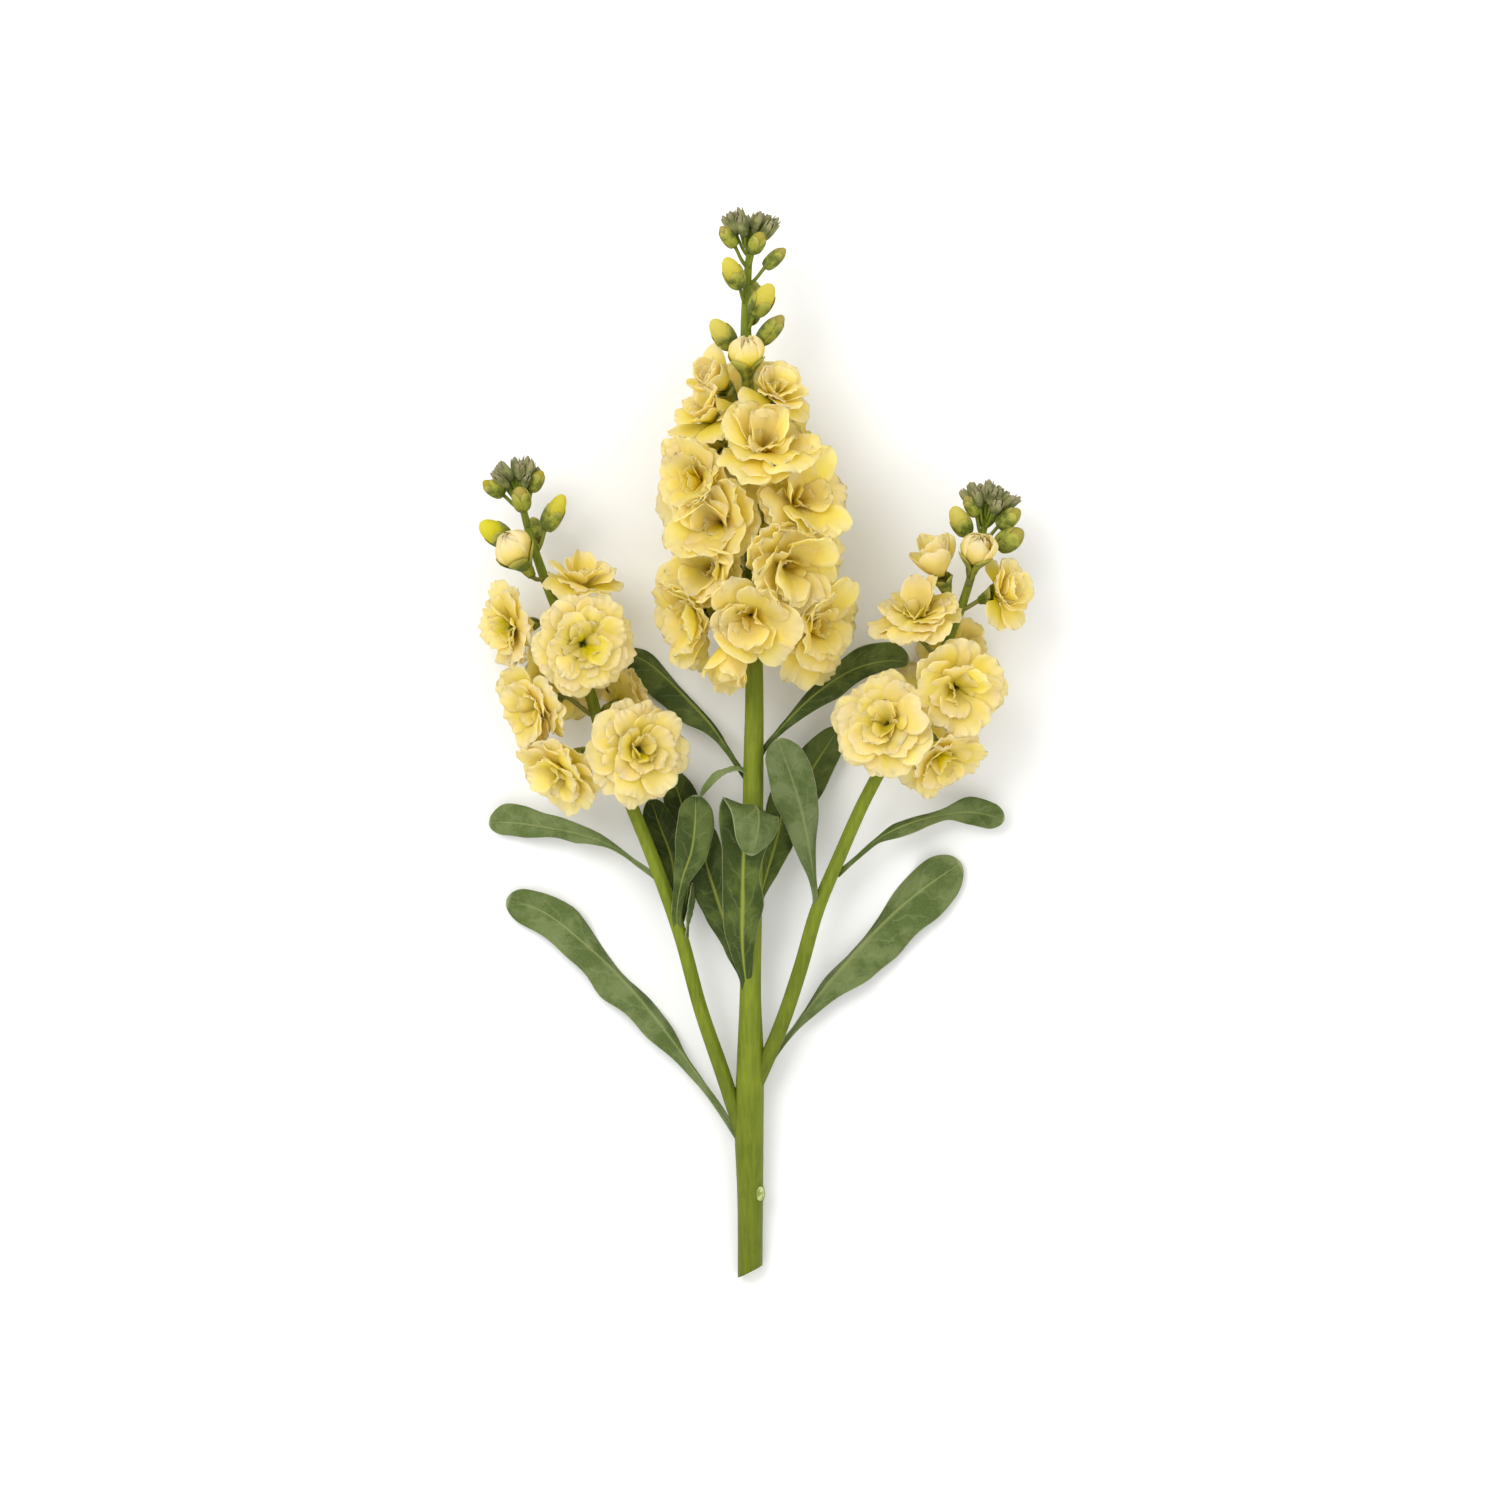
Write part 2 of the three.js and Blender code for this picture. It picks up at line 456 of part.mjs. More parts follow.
// A point drawn in towards the heart, so that it stays in the bloom's room
const softFrom = 0.78; // petals start to give way at this share of the room
const heartRoom = 0.5; // an inset leaves at least this much room round the heart
function pressedIn(point, bloom, room, layerInset) {
  const ray = point.clone().sub(bloom.heart);
  const distance = ray.length();
  if (distance < 1e-6) return point;
  ray.divideScalar(distance);
  let most = Infinity;
  for (const { normal, distance: limit } of room) {
    const facing = normal.dot(ray);
    if (facing > 1e-4) most = Math.min(most, Math.max(limit - layerInset, heartRoom) / facing);
  }
  const soft = softFrom * most;
  if (distance <= soft) return point;
  const x = Math.min((distance - soft) / (2 * (most - soft)), 1);
  const pressed = soft + (most - soft) * (2 * x - x * x);
  const place = bloom.heart.clone().addScaledVector(ray, pressed);
  place.z = Math.max(place.z, lowestMiddle(bloom));
  return place;
}

// One layer of petals as a single lobed sheet. Each lobe is a fan round its raised
// middle point; neighbouring lobes share the notch between them and the sheet's centre.
const notchShare = 0.6; // how far out the notches lie, as a share of a petal
const notchLean = 0.6; // how far the notches have taken on the lean of the tips
const sideShare = 0.8; // where a petal is widest
const middleShare = 0.6; // where it is raised
const bowl = 0.03; // how high, as a share of the bloom's size
const tipHalfWidth = 0.36; // half the width of the blunt tip, as a share of the width
const lobeFill = 0.95; // how much of its sector a lobe fills
const curveSteps = 10; // how finely a petal's curve is added up
// How much the petals of a layer differ: height of their ruffles as a share of the
// bloom's size, radians of turn, shortest and longest, degrees of lean, tip widths
const ruffleHeight = 0.12;
const turnSpread = 0.12;
const lengthRange = [0.92, 1.06];
const leanSpread = 14;
const tipRange = [0.8, 1.2];

function layerSurface(bloom, layer, turnStart, random) {
  const between = (low, high) => low + (high - low) * random();
  const { count, length, lean, rise, twist } = layer;
  const sideways = sidewaysOf(bloom.facing);
  const upwards = bloom.facing.clone().cross(sideways);
  const leanStart = THREE.MathUtils.degToRad(lean[0]);
  const sector = (2 * Math.PI) / count;
  // The place at a share of a petal's length, on the curve that its lean makes
  const place = (angle, share, reach, leanEnd, across, lift) => {
    const stride = (reach * share) / curveSteps;
    let out = 0;
    let forward = rise;
    for (let step = 0; step < curveSteps; step++) {
      const passed = ((step + 0.5) / curveSteps) * share;
      const leanHere = THREE.MathUtils.lerp(leanStart, leanEnd, passed);
      out += stride * Math.sin(leanHere);
      forward += stride * Math.cos(leanHere);
    }
    const tilt = THREE.MathUtils.lerp(leanStart, leanEnd, share);
    const direction = sideways.clone().multiplyScalar(Math.cos(angle));
    direction.addScaledVector(upwards, Math.sin(angle));
    const aside = bloom.facing.clone().cross(direction);
    const halfChord = out * Math.tan(sector / 2) * lobeFill * 2;
    const point = bloom.throat.clone();
    point.addScaledVector(direction, out - Math.cos(tilt) * lift);
    point.addScaledVector(bloom.facing, forward + Math.sin(tilt) * lift);
    return point.addScaledVector(aside, across * halfChord);
  };
  const points = [bloom.throat.clone().addScaledVector(bloom.facing, rise)];
  const triangles = [];
  const perPetal = 6;
  const notchOf = (petal) => 1 + (petal % count) * perPetal;
  const ruffle = () => (random() - 0.5) * bloom.size * ruffleHeight;
  for (let petal = 0; petal < count; petal++) {
    const notchAngle = turnStart + sector * petal;
    const angle = notchAngle + sector / 2 + (random() - 0.5) * turnSpread;
    const reach = bloom.size * length * between(...lengthRange);
    const leanEnd = THREE.MathUtils.degToRad(lean[1] + (random() - 0.5) * leanSpread);
    const notchEnd = THREE.MathUtils.lerp(leanStart, leanEnd, notchLean);
    const tip = tipHalfWidth * between(...tipRange);
    const first = points.length;
    points.push(
      place(notchAngle, notchShare, bloom.size * length, notchEnd, 0, 0),
      place(angle, sideShare, reach, leanEnd, -0.5, -twist + ruffle()),
      place(angle, 1, reach, leanEnd, -tip, -twist / 2 + ruffle()),
      place(angle, 1, reach, leanEnd, tip, twist / 2 + ruffle()),
      place(angle, sideShare, reach, leanEnd, 0.5, twist + ruffle()),
      place(angle, middleShare, reach, leanEnd, 0, -bloom.size * bowl),
    );
    const middle = first + perPetal - 1;
    const rim = [0, first, first + 1, first + 2, first + 3, first + 4, notchOf(petal + 1)];
    rim.forEach((corner, index) => triangles.push([middle, corner, rim[(index + 1) % rim.length]]));
  }
  return { points, triangles };
}

// A thin closed solid from a mid surface, split into the same triangles on both faces
function thicken(points, triangles, thickness) {
  const normals = points.map(() => new THREE.Vector3());
  for (const [a, b, c] of triangles) {
    const ab = points[b].clone().sub(points[a]);
    const ac = points[c].clone().sub(points[a]);
    const normal = ab.cross(ac);
    for (const corner of [a, b, c]) normals[corner].add(normal);
  }
  normals.forEach((normal) => normal.normalize().multiplyScalar(thickness / 2));
  const count = points.length;
  const settled = (point) => (point.z < settleHeight ? point.setZ(0) : point);
  const front = points.map((point, index) => settled(point.clone().add(normals[index])));
  const back = points.map((point, index) => settled(point.clone().sub(normals[index])));
  const edges = new Set(triangles.flatMap(([a, b, c]) => [`${a},${b}`, `${b},${c}`, `${c},${a}`]));
  const faces = [];
  for (const [a, b, c] of triangles) {
    faces.push([a, b, c], [a + count, c + count, b + count]);
    for (const [from, to] of [[a, b], [b, c], [c, a]]) {
      if (edges.has(`${to},${from}`)) continue;
      faces.push([to, from, from + count], [to, from + count, to + count]);
    }
  }
  return solidFrom([...front, ...back], faces);
}

// The layers of a bloom, from the outside in. lean: degrees off the facing at root
// and tip; length: share of the bloom's size; inset: how much less room it takes up
const fullLayers = [
  { count: 5, length: 1, lean: [60, 92], rise: 0.7, twist: 1, inset: 0 },
  { count: 4, length: 0.84, lean: [20, 58], rise: 1.1, twist: 0.6, inset: 1.1 },
];
const halfOpenLayers = [{ count: 4, length: 1.3, lean: [48, 8], rise: 0.7, twist: 0.3, inset: 0 }];
const layerTurn = 0.7; // radians from one layer's petals to the next's
const firstSeed = 1000;
const seedStep = 37;

function bloomSolid(bloom, index) {
  const random = randomFrom(firstSeed + index * seedStep);
  const room = roomOf(bloom);
  const pieces = [];
  const turnStart = random() * Math.PI * 2;
  const layers = bloom.half ? halfOpenLayers : fullLayers;
  layers.forEach((layer, layerIndex) => {
    const { points, triangles } = layerSurface(bloom, layer, turnStart + layerIndex * layerTurn, random);
    const pressed = points.map((point) => pressedIn(point, bloom, room, layer.inset));
    pieces.push(thicken(pressed, triangles, petalThickness));
  });
  return wasm.Manifold.union(pieces);
}

// Buds

// A bud has a rounded foot, is widest at a share of its length, and ends in a dome
const budWidest = 0.42;
const budFootWidth = 0.42; // the width of its foot, as a share of the widest
const budDome = 0.6; // the dome would close this far past the widest place
function budProfile(share) {
  if (share >= budWidest) return Math.sqrt(1 - ((share - budWidest) / budDome) ** 2);
  const rise = Math.sqrt(1 - (1 - share / budWidest) ** 2);
  return THREE.MathUtils.lerp(budFootWidth, 1, rise);
}

// The rings of a bud between two shares of its length
function budStations(bud, from, to, rings = 3) {
  const stations = [];
  for (let ring = 0; ring <= rings; ring++) {
    const share = from + ((to - from) * ring) / rings;
    const place = bud.throat.clone().addScaledVector(bud.facing, bud.length * share);
    stations.push({ place, radius: (bud.size / 2) * budProfile(share) });
  }
  return stations;
}

const sepalShare = 0.5; // how much of a yellow bud its sepals cover

function budStalk(bud, cover, grow = 0) {
  const stations = [{ place: bud.foot, radius: pedicelRadius + grow }];
  for (const { place, radius } of budStations(bud, 0, cover, bud.rings)) {
    stations.push({ place, radius: radius + grow });
  }
  return tube(stations, bud.sides ?? stalkSides);
}

function yellowBudSolid(bud) {
  const clear = sepalShare + seatGap / bud.length;
  return tube(budStations(bud, clear, 1), stalkSides + 1);
}

// The smallest buds, set round the tip of a spike by the golden angle. The outer ones
// sit lower, lean out more and are a little larger.
const goldenAngle = 137.5;
const firstTipTurn = 40;
const tipTop = 0.8;
const tipFall = 4;
const tipNod = 1.8;
const tipSizes = [0.9, 1.1];
function tipBuds({ axis, count, spread, size, length }) {
  const tipY = axisRows[axis].at(-1)[1];
  return Array.from({ length: count }, (_, index) => {
    const share = (index + 0.5) / count;
    const row = {
      at: tipY + tipTop - tipFall * share,
      turn: goldenAngle * index + firstTipTurn,
      reach: spread * Math.sqrt(share),
      nod: tipNod - share,
    };
    const seat = seatOf(axes[axis], row);
    const grown = THREE.MathUtils.lerp(...tipSizes, share);
    return { ...seat, size: size * grown, length, rings: 2, sides: 4 };
  });
}

// Leaves

const leafStations = [0, 0.1, 0.2, 0.3, 0.4, 0.5, 0.6, 0.7, 0.8, 0.9, 0.97, 1];
const plainStations = [0, 0.14, 0.3, 0.44, 0.56, 0.67, 0.77, 0.86, 0.94, 1];
const smallLeafStations = [0, 0.25, 0.5, 0.75, 0.93, 1];
const petioleWidth = 2.4;
const keel = 0.07; // the midrib lies this share of the width below the edges
const tipRound = 1.25; // a listed leaf's tip is rounded over this many half widths
const tipLeast = 0.14; // and keeps this share of its width at the very end
const sideLag = 1.1; // radians that the waves of one edge lag behind the other's
// A side that looks narrow from above hangs down: it is nearly as wide as the other.
// The stalk of the leaf has no such sides.
const hang = 0.85;
const hangSlope = 0.8;
const hangFrom = 0.15;
const hangWhole = 0.4;

function stationsOf(leaf) {
  return leaf.stations ?? (leaf.width ? plainStations : leafStations);
}

// Narrow at the base, widest near the tip, which is rounded
const leafFlare = 1.3; // more makes the base narrower for longer
const leafBlunt = 2.4; // more makes the tip blunter
const widthStart = -0.1; // the widening would start this far before the base
function leafWidth(leaf, along) {
  const rise = THREE.MathUtils.smoothstep(along, widthStart, leaf.peak);
  const pastPeak = Math.max(0, (along - leaf.peak) / (1 - leaf.peak));
  const width = Math.max(petioleWidth, leaf.width * rise ** leafFlare);
  return width * Math.sqrt(1 - pastPeak ** leafBlunt);
}

// Half widths between the listed tenths, with a round tip
function listedHalfWidth(values, along, length) {
  const last = values.length - 1;
  const index = Math.min(Math.floor(along * last), last - 1);
  const half = THREE.MathUtils.lerp(values[index], values[index + 1], along * last - index);
  const blunt = (tipRound * values[last]) / length;
  const past = Math.max(0, (along - 1 + blunt) / blunt);
  return half * Math.max(Math.sqrt(1 - past ** 2), tipLeast);
}

function leafHalves(leaf, along, length) {
  if (leaf.width) return [leafWidth(leaf, along) / 2, leafWidth(leaf, along) / 2];
  return [leaf.left, leaf.right].map((values) => listedHalfWidth(values, along, length));
}

function leafSurface(leaf) {
  const spine = new THREE.CatmullRomCurve3(leaf.spine.map(([x, y, z]) => new THREE.Vector3(x, y, z)));
  const points = [];
  const floor = leafThickness / 2;
  const length = spine.getLength();
  let across = sidewaysOf(spine.getTangentAt(0));
  for (const along of stationsOf(leaf)) {
    const middle = spine.getPointAt(along);
    const heading = spine.getTangentAt(along);
    across = across.clone().addScaledVector(heading, -across.dot(heading)).normalize();
    const roll = THREE.MathUtils.degToRad(THREE.MathUtils.lerp(leaf.roll[0], leaf.roll[1], along));
    const sideways = across.clone().applyAxisAngle(heading, roll);
    const face = sideways.clone().cross(heading);
    const halves = leafHalves(leaf, along, length);
    const wide = Math.max(...halves) * hang;
    const slope = THREE.MathUtils.smoothstep(along, hangFrom, hangWhole) * hangSlope;
    const fade = Math.sin(Math.PI * along);
    const phase = 2 * Math.PI * leaf.waves * along;
    const row = [-1, 0, 1].map((side) => {
      const half = side < 0 ? halves[0] : halves[1];
      const hidden = side ? Math.sqrt(Math.max(wide ** 2 - half ** 2, 0)) * slope : 0;
      const wave = side * side * leaf.wave * fade * Math.sin(phase + side * sideLag);
      const lift = wave - hidden - (side === 0 ? keel * (halves[0] + halves[1]) : 0);
      return middle.clone().addScaledVector(sideways, side * half).addScaledVector(face, lift);
    });
    if (along === 1) points.push(middle);
    else points.push(...row);
  }
  for (const point of points) point.z = Math.max(point.z, floor);
  return points;
}

function leafSolid(leaf) {
  const points = leafSurface(leaf);
  const triangles = [];
  const rows = stationsOf(leaf).length - 1;
  for (let row = 0; row < rows; row++) {
    for (const side of [0, 1]) {
      const a = row * 3 + side;
      const b = a + 1;
      if (row === rows - 1) triangles.push([a, b, points.length - 1]);
      else triangles.push([a, b, b + 3], [a, b + 3, a + 3]);
    }
  }
  return thicken(points, triangles, leafThickness);
}

// The stem with all that is green and grown together with it

const farAway = 40; // half the side of a block that is only there to cut
const cutEndTop = -177.5; // where the slanted cut leaves the upper side of the stem
const cutEndX = -0.5;
function cutEndTrim() {
  const block = new THREE.BoxGeometry(2 * farAway, farAway, 2 * farAway);
  block.translate(0, -farAway / 2, 0);
  block.rotateZ(Math.atan2(cutSlant, 2 * mainAxis[0][3]));
  block.translate(cutEndX, cutEndTop - cutSlant / 2, 0);
  return solidOfGeometry(block);
}

function floorBlock() {
  const block = new THREE.BoxGeometry(10 * farAway, 12 * farAway, farAway);
  block.translate(0, 0, -farAway / 2);
  return solidOfGeometry(block);
}

// A fallen leaf's scar, low on the stem, which bulges out of its right edge
const scarPlace = [2.4, -152.6, 8.2];
const scarHalves = [2.5, 3.5, 2.4];
const scarSides = 8;
const scarRings = 6;
function leafScar() {
  const scar = new THREE.SphereGeometry(1, scarSides, scarRings);
  scar.scale(...scarHalves);
  scar.translate(...scarPlace);
  return solidOfGeometry(scar);
}

function stemTubes(grow = 0) {
  return [
    axes.main.solid(stemSides, axisSteps.main, grow),
    axes.left.solid(branchSides, axisSteps.left, grow),
    axes.right.solid(branchSides, axisSteps.right, grow),
  ];
}

const halfCalyx = 0.9; // a half open bloom's calyx is this much slimmer

function stemSolid() {
  const pieces = [...stemTubes(), leafScar()];
  for (const bloom of blooms) {
    const radius = bloom.half ? calyxRadius * halfCalyx : calyxRadius;
    pieces.push(tube(stalkStations(bloom, bloom.calyx, radius), stalkSides));
  }
  for (const bud of buds) pieces.push(budStalk(bud, sepalShare));
  for (const bud of sealedBuds) pieces.push(budStalk(bud, 1));
  for (const cluster of tipClusters) {
    for (const bud of tipBuds(cluster)) pieces.push(budStalk(bud, 1));
  }
  for (const leaf of smallLeaves) {
    pieces.push(leafSolid({ ...leaf, stations: smallLeafStations }));
  }
  return tidied(wasm.Manifold.union(pieces).subtract(cutEndTrim()).subtract(floorBlock()));
}

// What a bloom must keep clear of: the stems and every stalk in its reach but its own
const bloomReach = 60;
const budReach = 40;
function stalksNear(owner, grow) {
  const near = (other, reach) => other !== owner && other.throat.distanceTo(owner.throat) < reach;
  const pieces = stemTubes(grow);
  for (const bloom of blooms.filter((other) => near(other, bloomReach))) {
    pieces.push(tube(stalkStations(bloom, bloom.calyx, calyxRadius, grow), stalkSides));
  }
  for (const bud of buds.filter((other) => near(other, budReach))) {
    pieces.push(budStalk(bud, sepalShare, grow));
  }
  for (const bud of sealedBuds.filter((other) => near(other, budReach))) {
    pieces.push(budStalk(bud, 1, grow));
  }
  return wasm.Manifold.union(pieces);
}

function buildPlant() {
  const plant = new THREE.Group();
  const cutGap = seatGap + facetMargin;
  plant.add(meshOf(stemSolid(), 'stem', stemGreen));
  blooms.forEach((bloom, index) => {
    const solid = bloomSolid(bloom, index).subtract(stalksNear(bloom, cutGap));
    plant.add(meshOf(tidied(solid), bloom.name, petalYellow));
  });
  for (const bud of buds) plant.add(meshOf(yellowBudSolid(bud), bud.name, budYellow));
  const grownStem = wasm.Manifold.union(stemTubes(cutGap));
  for (const leaf of leaves) {
    plant.add(meshOf(tidied(leafSolid(leaf).subtract(grownStem)), leaf.name, leafGreen));
  }
  plant.position.copy(originShift);
  return plant;
}

export default buildPlant();
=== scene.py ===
import math

import bpy
import numpy as np
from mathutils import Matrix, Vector


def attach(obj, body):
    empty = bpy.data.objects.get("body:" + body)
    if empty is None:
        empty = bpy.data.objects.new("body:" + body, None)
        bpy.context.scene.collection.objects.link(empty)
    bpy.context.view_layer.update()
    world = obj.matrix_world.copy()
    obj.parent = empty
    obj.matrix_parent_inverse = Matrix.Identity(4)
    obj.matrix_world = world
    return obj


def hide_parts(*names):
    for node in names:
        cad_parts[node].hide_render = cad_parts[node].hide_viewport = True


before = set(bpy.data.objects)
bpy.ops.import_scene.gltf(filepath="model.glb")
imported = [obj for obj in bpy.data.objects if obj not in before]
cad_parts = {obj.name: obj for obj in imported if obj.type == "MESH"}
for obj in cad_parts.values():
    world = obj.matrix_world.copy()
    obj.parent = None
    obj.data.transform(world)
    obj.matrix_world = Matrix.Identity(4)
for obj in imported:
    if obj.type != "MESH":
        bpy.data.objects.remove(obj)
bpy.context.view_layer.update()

mm = 0.001
originShift = np.array([-0.6, -0.4, 0.0])  # the same shift of the listed places as in the CAD
up = np.array([0.0, 0.0, 1.0])


# Small helpers

def unit(v):
    return v / np.linalg.norm(v)


def lerp(a, b, t):
    return a + (b - a) * t


def smoothstep(x, low, high):
    t = np.clip((x - low) / (high - low), 0, 1)
    return t * t * (3 - 2 * t)


def srgb(r, g, b):  # 0-255 colours, as listed, to linear
    linear = [((c / 255 + 0.055) / 1.055) ** 2.4 if c > 10 else c / 255 / 12.92 for c in (r, g, b)]
    return (*linear, 1.0)


def sidewaysOf(direction):
    reference = np.array([0.0, 1.0, 0.0]) if abs(direction[2]) > 0.9 else up
    return unit(np.cross(direction, reference))


def turnAbout(v, axis, angle):  # v turned about a unit axis
    c, s = math.cos(angle), math.sin(angle)
    return v * c + np.cross(axis, v) * s + axis * np.dot(axis, v) * (1 - c)


def softened(values, reach):  # running mean over this many values on each side
    width = 2 * reach + 1
    return np.convolve(np.pad(values, reach, mode="edge"), np.ones(width) / width, "valid")


class SmoothCurve:
    # a smooth centripetal curve through points, as the CAD's axes and leaf spines have
    samples = 400

    def __init__(self, points):
        self.points = np.array(points, float)
        self.table = np.array([self.at(i / self.samples) for i in range(self.samples + 1)])
        steps = np.linalg.norm(np.diff(self.table, axis=0), axis=1)
        self.lengths = np.concatenate([[0], np.cumsum(steps)])
        self.length = self.lengths[-1]

    def at(self, t):
        p = self.points
        last = len(p) - 1
        i = min(int(t * last), last - 1)
        w = t * last - i
        p1, p2 = p[i], p[i + 1]
        p0 = p[i - 1] if i > 0 else 2 * p1 - p2
        p3 = p[i + 2] if i + 2 <= last else 2 * p2 - p1
        dt = [max(np.sum((b - a) ** 2) ** 0.25, 1e-4) for a, b in ((p0, p1), (p1, p2), (p2, p3))]
        t1 = ((p1 - p0) / dt[0] - (p2 - p0) / (dt[0] + dt[1]) + (p2 - p1) / dt[1]) * dt[1]
        t2 = ((p2 - p1) / dt[1] - (p3 - p1) / (dt[1] + dt[2]) + (p3 - p2) / dt[2]) * dt[1]
        c2 = -3 * p1 + 3 * p2 - 2 * t1 - t2
        c3 = 2 * p1 - 2 * p2 + t1 + t2
        return p1 + t1 * w + c2 * w * w + c3 * w ** 3

    def atLength(self, share):  # by share of its length
        wanted = np.clip(share, 0, 1) * self.length
        return np.array([np.interp(wanted, self.lengths, self.table[:, k]) for k in range(3)])

    def headingAt(self, share):
        return unit(self.atLength(min(share + 0.004, 1)) - self.atLength(max(share - 0.004, 0)))


# Mesh parts, in mm

def gridFaces(rows, columns, start=0, flip=False):
    i, j = np.meshgrid(np.arange(rows - 1), np.arange(columns - 1), indexing="ij")
    a = (start + i * columns + j).ravel()
    quads = np.stack([a, a + 1, a + 1 + columns, a + columns], 1)
    return quads[:, ::-1] if flip else quads


def gridNormals(grid):
    alongU = np.gradient(grid, axis=0)
    alongV = np.gradient(grid, axis=1)
    normal = np.cross(alongU, alongV)
    size = np.linalg.norm(normal, axis=2, keepdims=True)
    return normal / np.maximum(size, 1e-9)


def sheetShell(grid, thickness, edgeShare=0.35):
    # a closed thin shell from a grid of middle points, thinner at its edges
    rows, columns = grid.shape[:2]
    half = np.full((rows, columns, 1), thickness / 2)
    half[-1] *= edgeShare
    half[:, 0] *= edgeShare
    half[:, -1] *= edgeShare
    offset = gridNormals(grid) * half
    points = np.concatenate([(grid + offset).reshape(-1, 3), (grid - offset).reshape(-1, 3)])
    count = rows * columns
    row = np.arange(rows)
    column = np.arange(columns)
    rim = np.concatenate([row * columns, (rows - 1) * columns + column[1:],
                          (row[::-1][1:]) * columns + columns - 1, column[::-1][1:-1]])
    following = np.roll(rim, -1)
    sides = np.stack([rim, following, following + count, rim + count], 1)
    return points, [(gridFaces(rows, columns), 0), (gridFaces(rows, columns, count, True), 0), (sides, 0)]


def gridMap(along, across):  # map values for a grid of points
    return np.stack(np.broadcast_arrays(along, across), 2)


def aroundAxis(base, facing, rise, radius, angle):  # points at these places up and round an axis
    side = sidewaysOf(facing)
    other = np.cross(facing, side)
    return (base + rise[..., None] * facing + (radius * np.cos(angle))[..., None] * side
            + (radius * np.sin(angle))[..., None] * other)


def ringFaces(rings, sides):  # faces between closed rings of points
    i, j = np.meshgrid(np.arange(rings - 1), np.arange(sides), indexing="ij")
    a = (i * sides + j).ravel()
    b = (i * sides + (j + 1) % sides).ravel()
    return np.stack([a, b, b + sides, a + sides], 1)


def capFaces(rings, sides, footPoint, tipPoint):  # fans that shut the first and the last ring
    ring = np.arange(sides)
    following = (ring + 1) % sides
    last = (rings - 1) * sides
    foot = np.stack([np.full(sides, footPoint), following, ring], 1)
    tip = np.stack([np.full(sides, tipPoint), last + ring, last + following], 1)
    return foot, tip


class PieceBuilder:
    # collects parts of one piece and makes its object at the end
    def __init__(self):
        self.points, self.faces, self.mats = [], [], []
        self.maps = {}
        self.count = 0

    def add(self, points, faces, uvs):
        # faces is a list of arrays of faces, each with its material's index
        for group, material in faces:
            self.faces.append(group + self.count)
            self.mats.append(np.full(len(group), material))
        self.points.append(points)
        for name, values in uvs.items():
            self.maps.setdefault(name, []).append(values)
        self.count += len(points)

    def make(self, name, materials, nodes, slotName):
        points = (np.concatenate(self.points) + originShift) * mm
        loops = np.concatenate([f.ravel() for f in self.faces])
        sizes = np.concatenate([np.full(len(f), f.shape[1]) for f in self.faces])
        mesh = bpy.data.meshes.new(name)
        mesh.vertices.add(len(points))
        mesh.vertices.foreach_set("co", points.ravel())
        mesh.loops.add(len(loops))
        mesh.loops.foreach_set("vertex_index", loops)
        mesh.polygons.add(len(sizes))
        mesh.polygons.foreach_set("loop_start", np.concatenate([[0], np.cumsum(sizes)[:-1]]))
        mesh.polygons.foreach_set("loop_total", sizes)
        mesh.polygons.foreach_set("material_index", np.concatenate(self.mats))
        mesh.polygons.foreach_set("use_smooth", np.full(len(sizes), True))
        for mapName, parts in self.maps.items():
            values = np.concatenate(parts)[loops]
            layer = mesh.uv_layers.new(name=mapName)
            layer.uv.foreach_set("vector", values.ravel())
        mesh.update()
        mesh.validate()
        piece = bpy.data.objects.new(name, mesh)
        bpy.context.scene.collection.objects.link(piece)
        for material in materials:
            mesh.materials.append(material)
        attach(piece, "root")
        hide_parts(*nodes)


def tubeGrid(centres, radii, sides, shape=None):
    # rings round a line of centres; shape(angle, share) scales the radius
    centres = np.asarray(centres, float)
    tangents = np.gradient(centres, axis=0)
    tangents /= np.linalg.norm(tangents, axis=1, keepdims=True)
    across = sidewaysOf(tangents[0])
    angles = np.linspace(0, 2 * np.pi, sides, endpoint=False)
    rings = []
    for index, (centre, radius, along) in enumerate(zip(centres, radii, tangents)):
        across = unit(across - along * np.dot(across, along))
        other = np.cross(along, across)
        share = index / (len(centres) - 1)
        reach = radius * (shape(angles, share) if shape else np.ones(sides))
        aside = np.outer(reach * np.cos(angles), across)
        rings.append(centre + aside + np.outer(reach * np.sin(angles), other))
    return np.array(rings)


def addTube(builder, centres, radii, sides, tone=0.5, shape=None, footMaterial=0):
    # a closed tube round a line of centres
    rings = tubeGrid(centres, radii, sides, shape)
    rows = len(rings)
    points = np.concatenate([rings.reshape(-1, 3), centres[:1], centres[-1:]])
    foot, tip = capFaces(rows, sides, len(points) - 2, len(points) - 1)
    share = np.repeat(np.linspace(0, 1, rows), sides)
    around = np.tile(np.arange(sides) / sides, rows)
    flow = np.stack([np.concatenate([share, [0, 1]]), np.concatenate([around, [0.5, 0.5]])], 1)
    builder.add(points, [(ringFaces(rows, sides), 0), (foot, footMaterial), (tip, 0)],
                {"flow": flow, "tone": np.full((len(points), 2), tone)})


